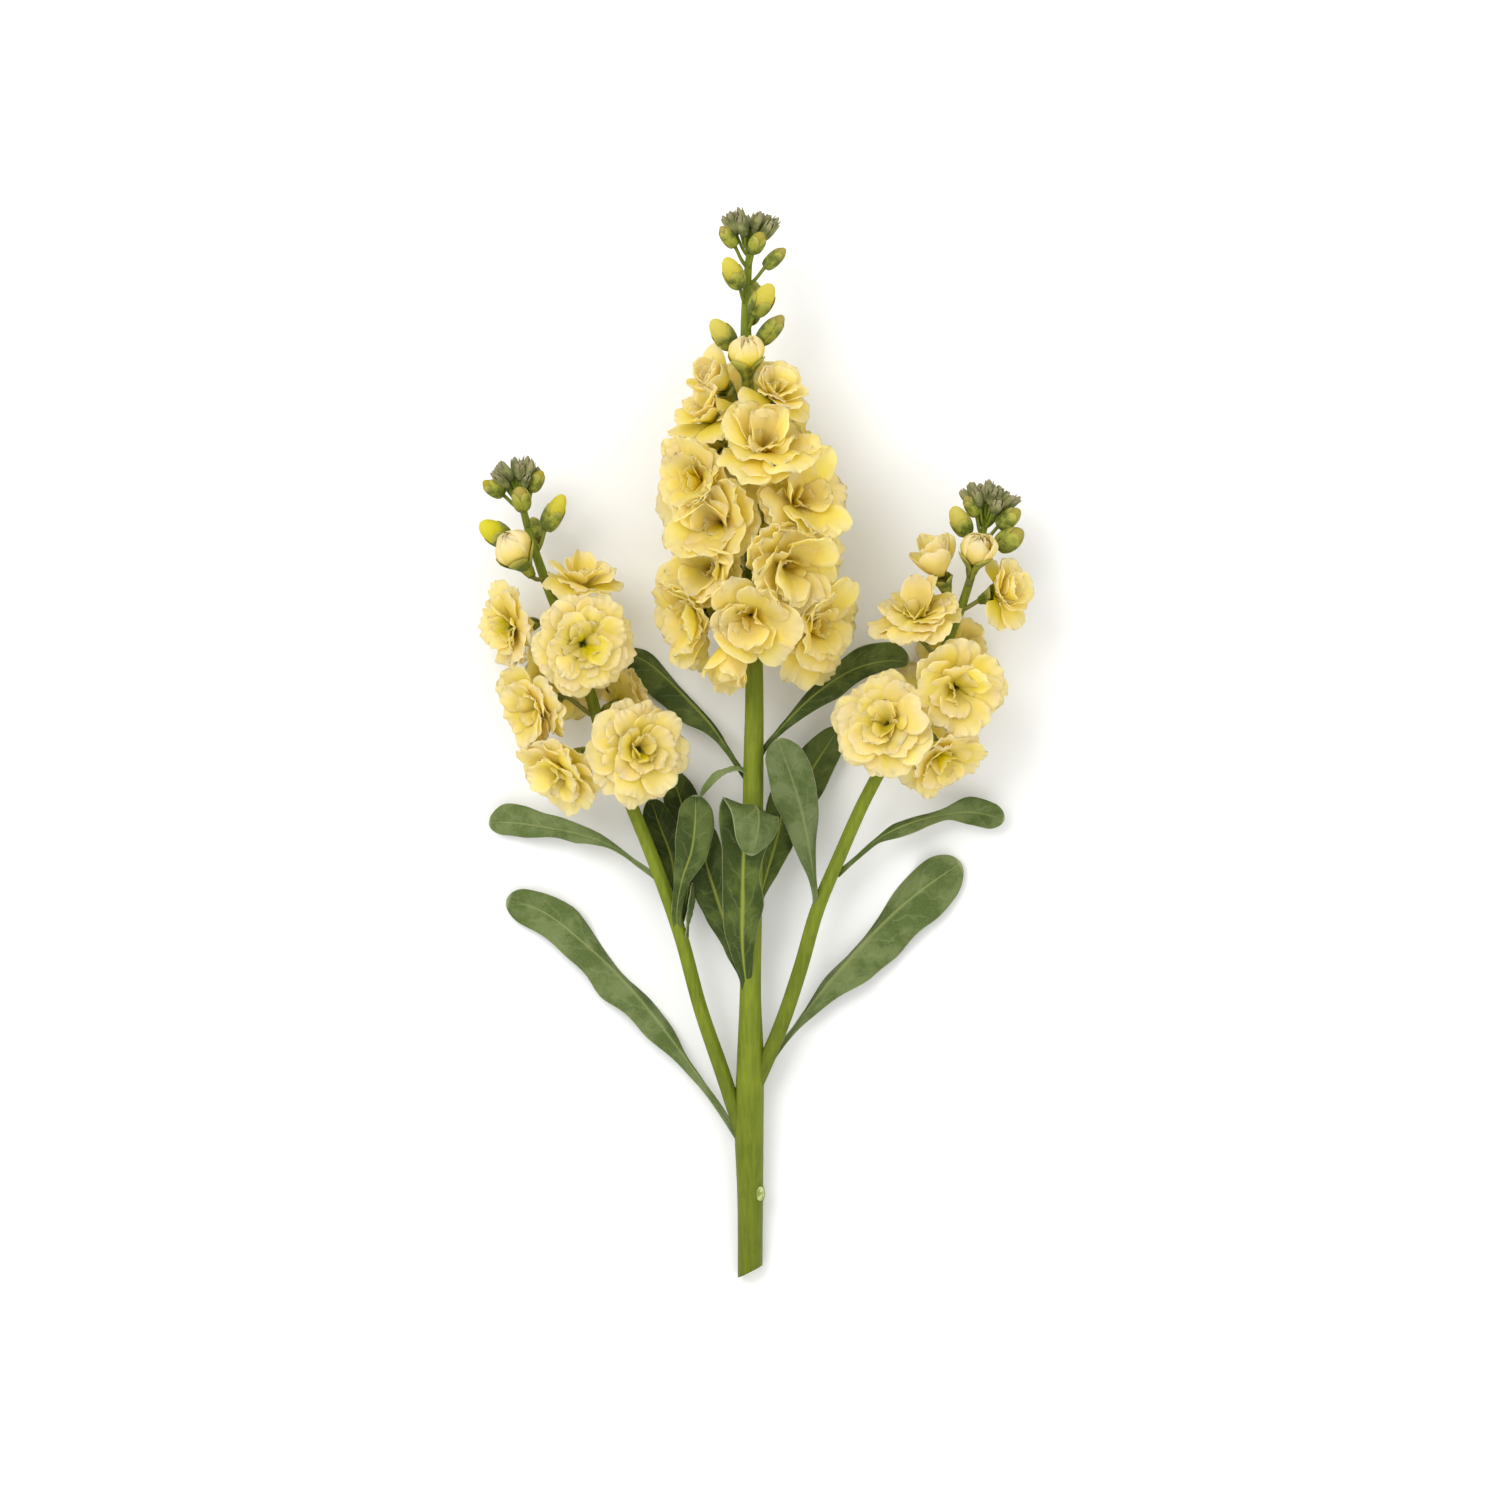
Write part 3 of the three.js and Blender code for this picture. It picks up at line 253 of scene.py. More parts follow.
# Stem axes, from the cut end up: x, y, height and radius in mm
stemShape = {
    "main": [
        [-0.5, -183.5, 3.5, 4.1], [-0.5, -154, 6.4, 4.25], [-0.9, -130, 9, 5], [-0.5, -106, 11.2, 4.6],
        [-0.5, -84, 13.3, 3.5], [0.2, -45, 17, 3.4], [0.5, -11, 20.2, 3.5], [0.9, 20, 23.1, 3],
        [0.2, 64, 27.3, 2.7], [-0.5, 105, 31.2, 2.3], [-1.9, 142, 34, 1.8], [-1.2, 162, 35, 1.3],
        [0.2, 176, 35.6, 0.9],
    ],
    "left": [
        [-1.5, -137, 8.6, 2.6], [-10, -111, 11, 2.6], [-17.5, -89, 13, 2.4], [-24.3, -64, 15, 2.4],
        [-32.8, -40, 16.8, 2.3], [-41.3, -19, 18.4, 2.2], [-49.8, 1, 20, 2.1], [-55.6, 20, 21, 2],
        [-63.4, 40, 22.3, 1.8], [-70.2, 57, 23.4, 1.6], [-75, 71, 24.4, 1.4], [-78.4, 84, 25.4, 1.1],
        [-80.4, 92, 26, 0.8],
    ],
    "right": [
        [0.5, -117, 10.2, 2.7], [9.7, -96, 12.4, 2.6], [16.5, -76, 14.2, 2.5], [22.6, -55, 15.8, 2.4],
        [30.1, -37, 17.2, 2.3], [37.6, -20, 18.5, 2.2], [44, -7.5, 19.5, 2.1], [52.2, 9, 20.6, 2],
        [62.4, 26.5, 22, 1.8], [69.9, 43.5, 23.2, 1.6], [75, 59, 24.3, 1.4], [79.1, 74, 25.4, 1.1],
        [81.1, 84, 26, 0.8],
    ],
}


class StemAxis:
    # the curve of a stem or branch, with its radius
    def __init__(self, rows):
        self.rows = rows
        self.curve = SmoothCurve([row[:3] for row in rows])

    def radiusAt(self, t):
        spans = len(self.rows) - 1
        i = min(int(t * spans), spans - 1)
        return lerp(self.rows[i][3], self.rows[i + 1][3], t * spans - i)

    def frameAt(self, y):  # where the axis passes a given y
        low, high = 0.0, 1.0
        for _ in range(30):  # the span is halved each time
            middle = (low + high) / 2
            if self.curve.at(middle)[1] < y:
                low = middle
            else:
                high = middle
        along = unit(self.curve.at(min(low + 0.002, 1)) - self.curve.at(max(low - 0.002, 0)))
        right = unit(np.cross(along, up))
        return {"place": self.curve.at(low), "along": along, "right": right,
                "up": np.cross(right, along), "radius": self.radiusAt(low)}


axes = {name: StemAxis(rows) for name, rows in stemShape.items()}

# Blooms: y beside the axis, turn about it (0 up, 90 right), reach from it, size,
# nod to the tip and lift of the face
bloomPlaces = {
    "main": [
        ("bloom_main_01", 122, -52, 9.5, 9.5, 0.9, 0), ("bloom_main_02", 111, -50, 15.5, 14, 1.5, 0.2),
        ("bloom_main_03", 118, 34, 13.5, 14, 1.0, 0), ("bloom_main_04", 100.5, 14, 17.5, 17, 1.25, 0),
        ("bloom_main_05", 92, -52, 20.5, 16, 0.1, 0.5), ("bloom_main_06", 84, 44, 20, 17.5, 0.5, 0.3),
        ("bloom_main_07", 78, -29, 18.5, 17.5, 0.2, 0), ("bloom_main_08", 63, -40, 16, 17.5, 0, 0.2),
        ("bloom_main_09", 64, 29, 19.5, 19.5, -0.2, 0.2), ("bloom_main_10", 46, -62, 20, 17, -0.2, 0.5),
        ("bloom_main_11", 47.5, -2, 20, 15.5, -0.3, 0), ("bloom_main_12", 42, 62, 20.5, 17, -0.1, 0.4),
        ("bloom_main_13", 40, -22, 18.5, 14, -2.2, 0), ("bloom_main_14", 118, 175, 14, 14, 0.3, 0),
        ("bloom_main_15", 100, -135, 13, 14, 0.1, 0), ("bloom_main_16", 98, 132, 15, 15.5, 0.05, 0),
        ("bloom_main_17", 79, 178, 19, 17.5, 0, 0), ("bloom_main_18", 62, 116, 18, 16, 0, 0),
        ("bloom_main_19", 57, -134, 16, 15.5, -0.05, 0), ("bloom_main_20", 44, 162, 18, 17, -0.1, 0),
        ("bloom_opening_main", 129, 0, 11, 9, 2, 0),
    ],
    "left": [
        ("bloom_left_01", 50, 62, 11, 14, 1.2, 0.1), ("bloom_left_02", 47, -80, 15, 15, 0.2, 0.45),
        ("bloom_left_03", 35, 13, 17, 18, -0.12, 0), ("bloom_left_04", 20, -66, 18, 16.5, -0.1, 0.35),
        ("bloom_left_05", 0, -54, 18.5, 16, -0.35, 0.1), ("bloom_left_06", -3, 28, 19, 18.5, -0.05, 0.1),
        ("bloom_left_07", 12, 138, 12, 15, 0.1, 0.3), ("bloom_left_08", 27, 200, 14.5, 16, 0, 0),
        ("bloom_opening_left", 65, -28, 10.5, 9.5, 1.8, 0),
    ],
    "right": [
        ("bloom_right_01", 39, -46, 16, 16.5, 0.95, 0), ("bloom_right_02", 55, 60, 10.5, 13, 0.7, 0.2),
        ("bloom_right_03", 26, 26, 17.5, 18, -0.05, 0.1), ("bloom_right_04", 7, -14, 18, 18.5, 0, 0),
        ("bloom_right_05", 6, 54, 18, 15.5, -0.5, 0.2), ("bloom_right_06", 15, 172, 15, 16.5, 0, 0),
        ("bloom_right_07", 33, 165, 12, 12.5, 0.1, 0),
        ("bloom_opening_right_1", 55, -64, 10, 10.5, 1.3, 0),
        ("bloom_opening_right_2", 63, -4, 9.5, 9, 1.6, 0),
    ],
}
halfOpen = {"bloom_main_01", "bloom_main_13", "bloom_opening_main", "bloom_opening_left",
            "bloom_opening_right_1", "bloom_opening_right_2"}
raisedFloor = {"bloom_left_07": 8}  # mm; it lies on a leaf

# Buds: axis, y, turn, reach, size, length
yellowBuds = {
    "bud_main_1": ("main", 137, -46, 7, 7.2, 12), "bud_main_2": ("main", 148, 34, 5.6, 7.4, 13),
    "bud_main_3": ("main", 157, -34, 5, 6.8, 12), "bud_left_1": ("left", 73, -60, 9, 8, 11.5),
    "bud_left_2": ("left", 73.5, 68, 6.5, 6.6, 13), "bud_right_1": ("right", 72, -60, 6.5, 6.8, 10.5),
}
greenBuds = [
    ("main", 138, 66, 5.4, 6.2, 12), ("main", 164, 70, 6.4, 4.8, 9), ("main", 169, 20, 4, 5.4, 8.5),
    ("main", 170, -66, 6, 4.6, 8), ("main", 145, 170, 8, 6.4, 10), ("main", 152, 168, 6.5, 5, 9),
    ("left", 82, 2, 6.5, 6.2, 10), ("left", 88, -62, 6.5, 5, 8), ("left", 87, 66, 5, 4.8, 7.5),
    ("left", 70, 172, 8.5, 6.4, 10), ("right", 70.5, 64, 7, 8, 10), ("right", 77, 60, 5.6, 6.4, 9),
    ("right", 79, -60, 4.5, 4.4, 7.5), ("right", 66, 172, 8.5, 6.2, 9.5),
]
# Bunches of the smallest buds: axis, count, spread, size, length
tipClusters = [("main", 15, 5.6, 3.1, 7.2), ("left", 14, 5.4, 2.9, 6.6), ("right", 15, 5.8, 3.1, 7)]

styleNames = {  # every other bloom is full
    "hanging": ["bloom_main_13"],
    "cup": ["bloom_main_01", "bloom_opening_right_1"],
    "young": ["bloom_main_02", "bloom_main_03", "bloom_left_01", "bloom_right_02"],
    "massed": ["bloom_main_%02d" % number for number in range(4, 13)],
    "loose": ["bloom_left_02", "bloom_left_04", "bloom_left_05", "bloom_right_03", "bloom_right_05"],
}
bloomStyles = {name: style for style, names in styleNames.items() for name in names}

pedicelDrop = 9  # mm down the axis from a flower to the foot of its stalk
calyxLength = 8.5  # mm, less where a flower sits close to its axis
heartLift = 3  # mm from the throat of a bloom to the middle of its petals
# Each group of pieces has random draws of its own, so a change in one leaves the others as they are
seeds = {"stalks": 11, "blooms": 300, "leaves": 700, "smallLeaves": 760}


def seatOf(axisName, y, turn, reach, nod=1.0, lift=0.0):
    # where a flower or bud sits beside its axis, which way it faces, and the foot of its stalk
    at = axes[axisName].frameAt(y)
    angle = math.radians(turn)
    outward = at["right"] * math.sin(angle) + at["up"] * math.cos(angle)
    facing = unit(outward + at["along"] * nod + up * lift)
    drop = pedicelDrop * (0.6 + 0.4 * min(1, reach / 15))
    foot = axes[axisName].frameAt(y - drop)
    return {"place": at["place"], "outward": outward, "facing": facing, "axisRadius": at["radius"],
            "throat": at["place"] + outward * reach, "foot": foot["place"], "footAlong": foot["along"]}


blooms = []
for axisName, rows in bloomPlaces.items():
    for name, y, turn, reach, size, nod, lift in rows:
        bloom = seatOf(axisName, y, turn, reach, nod, lift)
        bloom.update(name=name, size=size, half=name in halfOpen, calyx=min(calyxLength, reach * 0.55),
                     floor=raisedFloor.get(name, 0.0), hidden=90 < turn % 360 < 270,
                     heart=bloom["throat"] + bloom["facing"] * heartLift)
        blooms.append(bloom)
budRows = [(name, *row) for name, row in yellowBuds.items()] + [(None, *row) for row in greenBuds]
buds = [dict(seatOf(axisName, y, turn, reach), name=name, size=size, length=length)
        for name, axisName, y, turn, reach, size, length in budRows]
print("places worked out:", len(blooms), "blooms and", len(buds), "buds")


# Shader node groups and materials

class Nodes:
    # short calls to add and join nodes in one tree
    def __init__(self, tree):
        self.tree = tree
        self.spot = 0

    def add(self, kind, **settings):
        node = self.tree.nodes.new(kind)
        node.location = (self.spot % 8 * 200, -(self.spot // 8) * 260)
        self.spot += 1
        for key, value in settings.items():
            setattr(node, key, value)
        return node

    def link(self, source, target):
        self.tree.links.new(source, target)

    def feed(self, node, key, value):
        socket = node.inputs[key]
        if isinstance(value, bpy.types.NodeSocket):
            self.link(value, socket)
        else:
            socket.default_value = value

    def math(self, operation, a, b=0.0, clamp=False):
        node = self.add("ShaderNodeMath", operation=operation, use_clamp=clamp)
        self.feed(node, 0, a)
        self.feed(node, 1, b)
        return node.outputs[0]

    def times(self, a, b, clamp=False):
        return self.math("MULTIPLY", a, b, clamp)

    def plus(self, a, b, clamp=False):
        return self.math("ADD", a, b, clamp)

    def minus(self, a, b):
        return self.math("SUBTRACT", a, b)

    def fromMiddle(self, across):  # 0 on the middle line of a petal or leaf, 1 at its margins
        return self.math("ABSOLUTE", self.minus(self.times(across, 2.0), 1.0))

    def stripes(self, lane):  # 0 on whole numbers, 1 between them
        return self.math("ABSOLUTE", self.math("SINE", self.times(lane, math.pi)))

    def mapRange(self, value, low, high, toLow=0.0, toHigh=1.0, smooth=True):
        node = self.add("ShaderNodeMapRange", interpolation_type="SMOOTHSTEP" if smooth else "LINEAR")
        for key, item in zip(("Value", "From Min", "From Max", "To Min", "To Max"),
                             (value, low, high, toLow, toHigh)):
            self.feed(node, key, item)
        return node.outputs["Result"]

    def mix(self, factor, a, b):
        node = self.add("ShaderNodeMix", data_type="RGBA")
        self.feed(node, 0, factor)
        self.feed(node, 6, a)
        self.feed(node, 7, b)
        return node.outputs[2]

    def noise(self, vector, scale, detail, rough=0.55):
        node = self.add("ShaderNodeTexNoise")
        self.link(vector, node.inputs["Vector"])
        for key, value in (("Scale", scale), ("Detail", detail), ("Roughness", rough)):
            self.feed(node, key, value)
        return node.outputs["Fac"]

    def group(self, tree, **values):
        node = self.add("ShaderNodeGroup", node_tree=tree)
        for key, value in values.items():
            self.feed(node, key, value)
        return node.outputs

    def uv(self, name):
        node = self.add("ShaderNodeUVMap", uv_map=name)
        split = self.add("ShaderNodeSeparateXYZ")
        self.link(node.outputs[0], split.inputs[0])
        return split.outputs["X"], split.outputs["Y"]

    def place(self):
        return self.add("ShaderNodeTexCoord").outputs["Object"]

    def shade(self, colour, **values):
        node = self.add("ShaderNodeHueSaturation")
        for key, value in values.items():
            self.feed(node, key, value)
        self.link(colour, node.inputs["Color"])
        return node.outputs[0]

    def dress(self, shader, colour, roughness, height, strength, distance):
        # colour, roughness and bump of a shader, whose depth is in metres
        self.link(colour, shader.inputs["Base Color"])
        self.link(roughness, shader.inputs["Roughness"])
        bump = self.add("ShaderNodeBump")
        self.feed(bump, "Strength", strength)
        self.feed(bump, "Distance", distance)
        self.link(height, bump.inputs["Height"])
        self.link(bump.outputs[0], shader.inputs["Normal"])


def newGroup(name, inputs, outputs):
    # a node group whose inputs and outputs are numbers
    group = bpy.data.node_groups.new(name, "ShaderNodeTree")
    for label, default in inputs.items():
        socket = group.interface.new_socket(label, in_out="INPUT", socket_type="NodeSocketFloat")
        socket.default_value = default
    for label in outputs:
        group.interface.new_socket(label, in_out="OUTPUT", socket_type="NodeSocketFloat")
    n = Nodes(group)
    return group, n, n.add("NodeGroupInput").outputs, n.add("NodeGroupOutput").inputs


def buildMottle():  # soft uneven patches, 0 to 1
    group, n, inlet, outlet = newGroup("softMottle", {"Scale": 400.0, "Contrast": 1.0}, ["Value"])
    cloud = n.noise(n.place(), inlet["Scale"], 4.0, 0.6)
    spread = n.times(n.minus(cloud, 0.5), n.times(inlet["Contrast"], 2.0))
    n.link(n.plus(spread, 0.5, clamp=True), outlet["Value"])
    return group


def buildFanVeins():  # fine veins that run along a petal or sepal
    group, n, inlet, outlet = newGroup(
        "fanVeins", {"Along": 0.0, "Across": 0.0, "Count": 14.0, "Wander": 0.5}, ["Mask"])
    both = n.add("ShaderNodeCombineXYZ")
    n.link(n.times(inlet["Along"], 1.6), both.inputs["X"])
    n.link(n.times(inlet["Across"], 3.0), both.inputs["Y"])
    wander = n.times(n.noise(both.outputs[0], 2.5, 2.0), inlet["Wander"])
    lane = n.times(n.plus(inlet["Across"], wander), inlet["Count"])
    fade = n.mapRange(inlet["Along"], 0.2, 0.95, 1.0, 0.35)
    n.link(n.times(n.math("POWER", n.stripes(lane), 5.0), fade), outlet["Mask"])
    return group


def buildLeafVeins():  # a midrib and side veins that bend to the tip
    group, n, inlet, outlet = newGroup(
        "leafVeins", {"Along": 0.0, "Across": 0.0, "Pairs": 9.0}, ["Midrib", "Side"])
    off = n.fromMiddle(inlet["Across"])
    width = n.mapRange(inlet["Along"], 0.0, 1.0, 0.3, 0.03, smooth=False)
    n.link(n.mapRange(off, 0.0, width, 1.0, 0.0), outlet["Midrib"])
    stray = n.times(n.noise(n.place(), 160.0, 2.0), 1.4)
    climb = n.minus(inlet["Along"], n.times(off, 0.13))
    lane = n.plus(n.times(climb, inlet["Pairs"]), stray)
    thin = n.math("POWER", n.minus(1.0, n.stripes(lane)), 6.0)
    n.link(n.times(thin, n.mapRange(off, 0.55, 0.95, 1.0, 0.0)), outlet["Side"])
    return group


def buildFelt():  # short pale hairs, seen as a fine bloom of grey
    group, n, inlet, outlet = newGroup("greyFelt", {"Scale": 2600.0, "Amount": 0.4}, ["Mask"])
    place = n.place()
    fine = n.noise(place, inlet["Scale"], 2.0, 0.7)
    broad = n.noise(place, n.times(inlet["Scale"], 0.06), 2.0, 0.5)
    both = n.times(n.mapRange(fine, 0.42, 0.68), n.mapRange(broad, 0.3, 0.7, 0.5, 1.0))
    n.link(n.times(both, inlet["Amount"], clamp=True), outlet["Mask"])
    return group


softMottle = buildMottle()
fanVeins = buildFanVeins()
leafVeins = buildLeafVeins()
greyFelt = buildFelt()


def newMaterial(name, shine=0.5):
    # n.output is where a material with more than one shader joins the last one
    material = bpy.data.materials.new(name)
    material.use_nodes = True
    material.node_tree.nodes.clear()
    n = Nodes(material.node_tree)
    shader = n.add("ShaderNodeBsdfPrincipled")
    n.feed(shader, "Specular IOR Level", shine)
    n.output = n.add("ShaderNodeOutputMaterial").inputs["Surface"]
    n.link(shader.outputs[0], n.output)
    return material, n, shader


petalLook = {
    "pit": srgb(130, 128, 12),         # olive, deep in the flower
    "throat": srgb(230, 216, 52),      # green-yellow round it
    "middle": srgb(250, 238, 136),
    "edge": srgb(251, 243, 214),       # cream margins
    "vein": srgb(240, 224, 116),
    "glow": srgb(251, 237, 100),       # light that has come through petals
    "pitReach": 0.08, "middleReach": 0.54,
    "warmth": 0.0,                     # how far the yellow of the throat moves outwards
    "roughness": 0.62,
    "throughLight": 0.58, "glowShare": 0.5,
}


def petalMaterial(name, look):
    material, n, shader = newMaterial(name, 0.16)
    along, across = n.uv("petalMap")
    reach, chance = n.uv("petalTone")
    patch = n.group(softMottle, Scale=140.0, Contrast=1.1)["Value"]
    far = n.minus(n.plus(reach, n.times(n.minus(patch, 0.5), 0.14)), look["warmth"])
    pit = look["pitReach"]
    colour = n.mix(n.mapRange(far, pit * 0.4, pit * 1.6), look["pit"], look["throat"])
    colour = n.mix(n.mapRange(far, pit * 1.5, look["middleReach"]), colour, look["middle"])
    sides = n.times(n.mapRange(n.fromMiddle(across), 0.6, 1.0), n.mapRange(along, 0.3, 0.7))
    outer = n.math("MAXIMUM", n.mapRange(along, 0.55, 1.0), sides)
    outer = n.times(outer, n.mapRange(reach, 0.2, 0.8, 0.25, 0.95))  # inner petals stay yellow
    colour = n.mix(outer, colour, look["edge"])
    veins = n.group(fanVeins, Along=along, Across=across, Count=11.0, Wander=0.35)["Mask"]
    colour = n.mix(n.times(veins, 0.2), colour, look["vein"])
    colour = n.shade(colour, Hue=n.mapRange(chance, 0.0, 1.0, 0.494, 0.506, smooth=False),
                     Saturation=n.mapRange(chance, 0.0, 1.0, 0.86, 1.12, smooth=False),
                     Value=n.mapRange(patch, 0.2, 0.8, 0.96, 1.02))
    crinkle = n.group(softMottle, Scale=900.0, Contrast=1.0)["Value"]
    roughness = n.mapRange(crinkle, 0.2, 0.8, look["roughness"] - 0.07, look["roughness"] + 0.08)
    height = n.plus(n.times(crinkle, 0.5), n.times(veins, -0.45))
    n.dress(shader, colour, roughness, height, 0.45, 0.00018)
    through = n.add("ShaderNodeBsdfTranslucent")
    n.link(n.mix(look["glowShare"], colour, look["glow"]), through.inputs["Color"])
    blend = n.add("ShaderNodeMixShader")
    n.feed(blend, 0, look["throughLight"])
    n.link(shader.outputs[0], blend.inputs[1])
    n.link(through.outputs[0], blend.inputs[2])
    n.link(blend.outputs[0], n.output)
    return material


greenLook = {
    "stemPale": srgb(126, 138, 32), "stemDeep": srgb(87, 101, 14), "stemGrey": srgb(132, 134, 88),
    "stemFelt": 0.2,
    "calyxPale": srgb(150, 152, 50), "calyxDeep": srgb(82, 94, 22), "calyxTip": srgb(180, 172, 76),
    "blush": srgb(140, 122, 96),
    "cutPale": srgb(196, 200, 142), "cutRing": srgb(128, 146, 60),
}


def stemMaterial(name, look):
    material, n, shader = newMaterial(name, 0.16)
    along = n.uv("flow")[0]
    tone = n.uv("tone")[0]
    stretch = n.add("ShaderNodeMapping")
    n.feed(stretch, "Scale", (900, 60, 900))  # long streaks along the stem
    n.link(n.place(), stretch.inputs["Vector"])
    streak = n.noise(stretch.outputs[0], 1.0, 3.0, 0.6)
    patch = n.group(softMottle, Scale=90.0, Contrast=1.3)["Value"]
    blend = n.plus(n.times(streak, 0.8), n.times(patch, 0.2))
    colour = n.mix(n.mapRange(blend, 0.1, 0.9), look["stemDeep"], look["stemPale"])
    colour = n.mix(n.times(n.mapRange(tone, 0.5, 1.0), 0.6), colour, look["blush"])
    grey = n.group(greyFelt, Scale=2400.0, Amount=look["stemFelt"])["Mask"]
    grey = n.times(grey, n.mapRange(along, 0.05, 0.4, 0.3, 1.0))
    colour = n.mix(grey, colour, look["stemGrey"])
    depth = n.mapRange(along, 0.0, 0.3, 0.66, 1.0, smooth=False)  # painted shade: darker towards the cut end, against the light the floor throws on the stem there
    roughness = n.mapRange(streak, 0.3, 0.7, 0.5, 0.68)
    height = n.plus(n.times(streak, 0.7), n.times(grey, 0.6))
    n.dress(shader, n.shade(colour, Value=depth), roughness, height, 0.5, 0.00022)
    return material


def cutMaterial(name, look):
    material, n, shader = newMaterial(name)
    pores = n.group(softMottle, Scale=2600.0, Contrast=1.8)["Value"]
    cloud = n.group(softMottle, Scale=500.0, Contrast=1.2)["Value"]
    colour = n.mix(n.mapRange(cloud, 0.25, 0.75), look["cutPale"], look["cutRing"])
    colour = n.mix(n.times(n.mapRange(pores, 0.55, 0.8), 0.5), colour, look["stemDeep"])
    n.dress(shader, colour, n.mapRange(pores, 0.2, 0.8, 0.42, 0.62), pores, 0.5, 0.0002)
    return material


def sepalMaterial(name, look):
    material, n, shader = newMaterial(name, 0.2)
    along, across = n.uv("petalMap")
    veins = n.group(fanVeins, Along=along, Across=across, Count=7.0, Wander=0.2)["Mask"]
    patch = n.group(softMottle, Scale=260.0, Contrast=1.2)["Value"]
    colour = n.mix(n.mapRange(patch, 0.25, 0.75), look["calyxDeep"], look["calyxPale"])
    colour = n.mix(n.times(n.mapRange(along, 0.6, 1.0), 0.75), colour, look["calyxTip"])
    colour = n.mix(n.times(veins, 0.35), colour, look["calyxDeep"])
    grey = n.group(greyFelt, Scale=2600.0, Amount=0.35)["Mask"]
    colour = n.mix(grey, colour, look["stemGrey"])
    height = n.plus(n.times(veins, 0.6), n.times(grey, 0.7))
    n.dress(shader, colour, n.mapRange(patch, 0.2, 0.8, 0.55, 0.7), height, 0.5, 0.00018)
    return material


leafLook = {
    "green": srgb(76, 92, 22), "greenDeep": srgb(42, 58, 4),
    "grey": srgb(106, 119, 72), "greyDeep": srgb(80, 97, 44),
    "rib": srgb(142, 152, 100), "ribGreen": srgb(152, 162, 56),
    "feltPale": srgb(142, 150, 112), "edge": srgb(164, 170, 130),
    "felt": 0.3, "ribStrength": 0.85,
}


def leafMaterial(name, look):
    material, n, shader = newMaterial(name, 0.14)
    along, across = n.uv("leafMap")
    grey, bright = n.uv("leafTone")
    veins = n.group(leafVeins, Along=along, Across=across, Pairs=9.0)
    patch = n.group(softMottle, Scale=75.0, Contrast=1.3)["Value"]
    fine = n.group(softMottle, Scale=700.0, Contrast=1.0)["Value"]
    spread = n.mapRange(patch, 0.25, 0.75)
    green = n.mix(spread, look["greenDeep"], look["green"])
    felted = n.mix(spread, look["greyDeep"], look["grey"])
    colour = n.mix(grey, green, felted)
    strength = look["ribStrength"]
    colour = n.mix(n.times(veins["Side"], 0.3 * strength), colour, look["rib"])
    rib = n.mapRange(grey, 0.1, 0.9, strength, strength * 0.55, smooth=False)
    colour = n.mix(n.times(veins["Midrib"], rib), colour, n.mix(grey, look["ribGreen"], look["rib"]))
    hairs = n.group(greyFelt, Scale=2600.0, Amount=look["felt"])["Mask"]
    pale = n.times(hairs, n.mapRange(grey, 0.0, 1.0, 0.4, 1.0, smooth=False))
    colour = n.mix(pale, colour, look["feltPale"])
    rim = n.math("MAXIMUM", n.mapRange(n.fromMiddle(across), 0.955, 1.0), n.mapRange(along, 0.985, 1.0))
    colour = n.mix(n.times(rim, 0.6), colour, look["edge"])
    height = n.minus(n.times(hairs, 0.5), n.times(veins["Side"], 0.8))
    height = n.plus(height, n.times(fine, 0.35))
    roughness = n.mapRange(fine, 0.2, 0.8, 0.58, 0.74)
    # painted light and shade: each leaf's brightness darkens the leaves that lie in shade and lightens a
    # lit one
    n.dress(shader, n.shade(colour, Value=bright), roughness, height, 0.55, 0.0003)
    return material


petalSkin = petalMaterial("petalSkin", petalLook)
# a warmer copy of the petal colours for the massed and hanging blooms, whose paler, brighter colours are
# painted light that lifts the shade among their crowded petals
warmLitSkin = petalMaterial("warmLitPetalSkin", dict(
    petalLook, pit=srgb(190, 164, 24), throat=srgb(246, 224, 62), middle=srgb(254, 244, 160),
    edge=srgb(253, 246, 226), glow=srgb(255, 246, 110), throughLight=0.7))
openingSkin = petalMaterial("openingPetalSkin", dict(petalLook, warmth=0.12))
budSkin = petalMaterial("budSkin", dict(
    petalLook, pit=srgb(130, 142, 30), throat=srgb(186, 188, 52), middle=srgb(228, 218, 84),
    edge=srgb(234, 224, 106), glow=srgb(238, 230, 90), middleReach=0.66))
greenBudSkin = petalMaterial("greenBudSkin", dict(
    petalLook, pit=srgb(110, 118, 30), throat=srgb(150, 150, 46), middle=srgb(190, 180, 66),
    edge=srgb(210, 196, 90), glow=srgb(196, 186, 76)))
stemSkin = stemMaterial("stemSkin", greenLook)
cutFace = cutMaterial("cutFace", greenLook)
sepalSkin = sepalMaterial("sepalSkin", greenLook)
greenTipSkin = sepalMaterial("greenTipSkin", dict(
    greenLook, calyxPale=srgb(140, 142, 84), calyxDeep=srgb(86, 92, 44),
    calyxTip=srgb(150, 140, 108), stemGrey=srgb(158, 154, 128)))
leafSkin = leafMaterial("leafSkin", leafLook)
print("materials built")


# Stems: ridged green tubes with a slanted cut, a leaf scar and swollen nodes

stemDetail = {
    "sides": 40, "steps": 150, "ridge": 0.05, "soften": 5,
    "phases": {"main": 0.4, "left": 1.3, "right": 2.1},
    "slant": 4.2, "cutTop": -177.5, "footWidth": 8.2, "footMiddle": -0.5,
    # a bump at the stem's right edge, half sizes across, along and out
    "scarAt": (2.4, -152.6, 8.2), "scarFacing": (0.42, 0.0, 0.9), "scarHalves": (2.3, 3.5, 2.3),
    "scarRings": 9, "scarSides": 24, "paleRings": 3,
}


def ridges(phase):
    return lambda angle, share: 1 + stemDetail["ridge"] * (
        0.6 * np.sin(5 * angle + phase + 3 * share) + 0.4 * np.sin(9 * angle - phase + 5 * share))


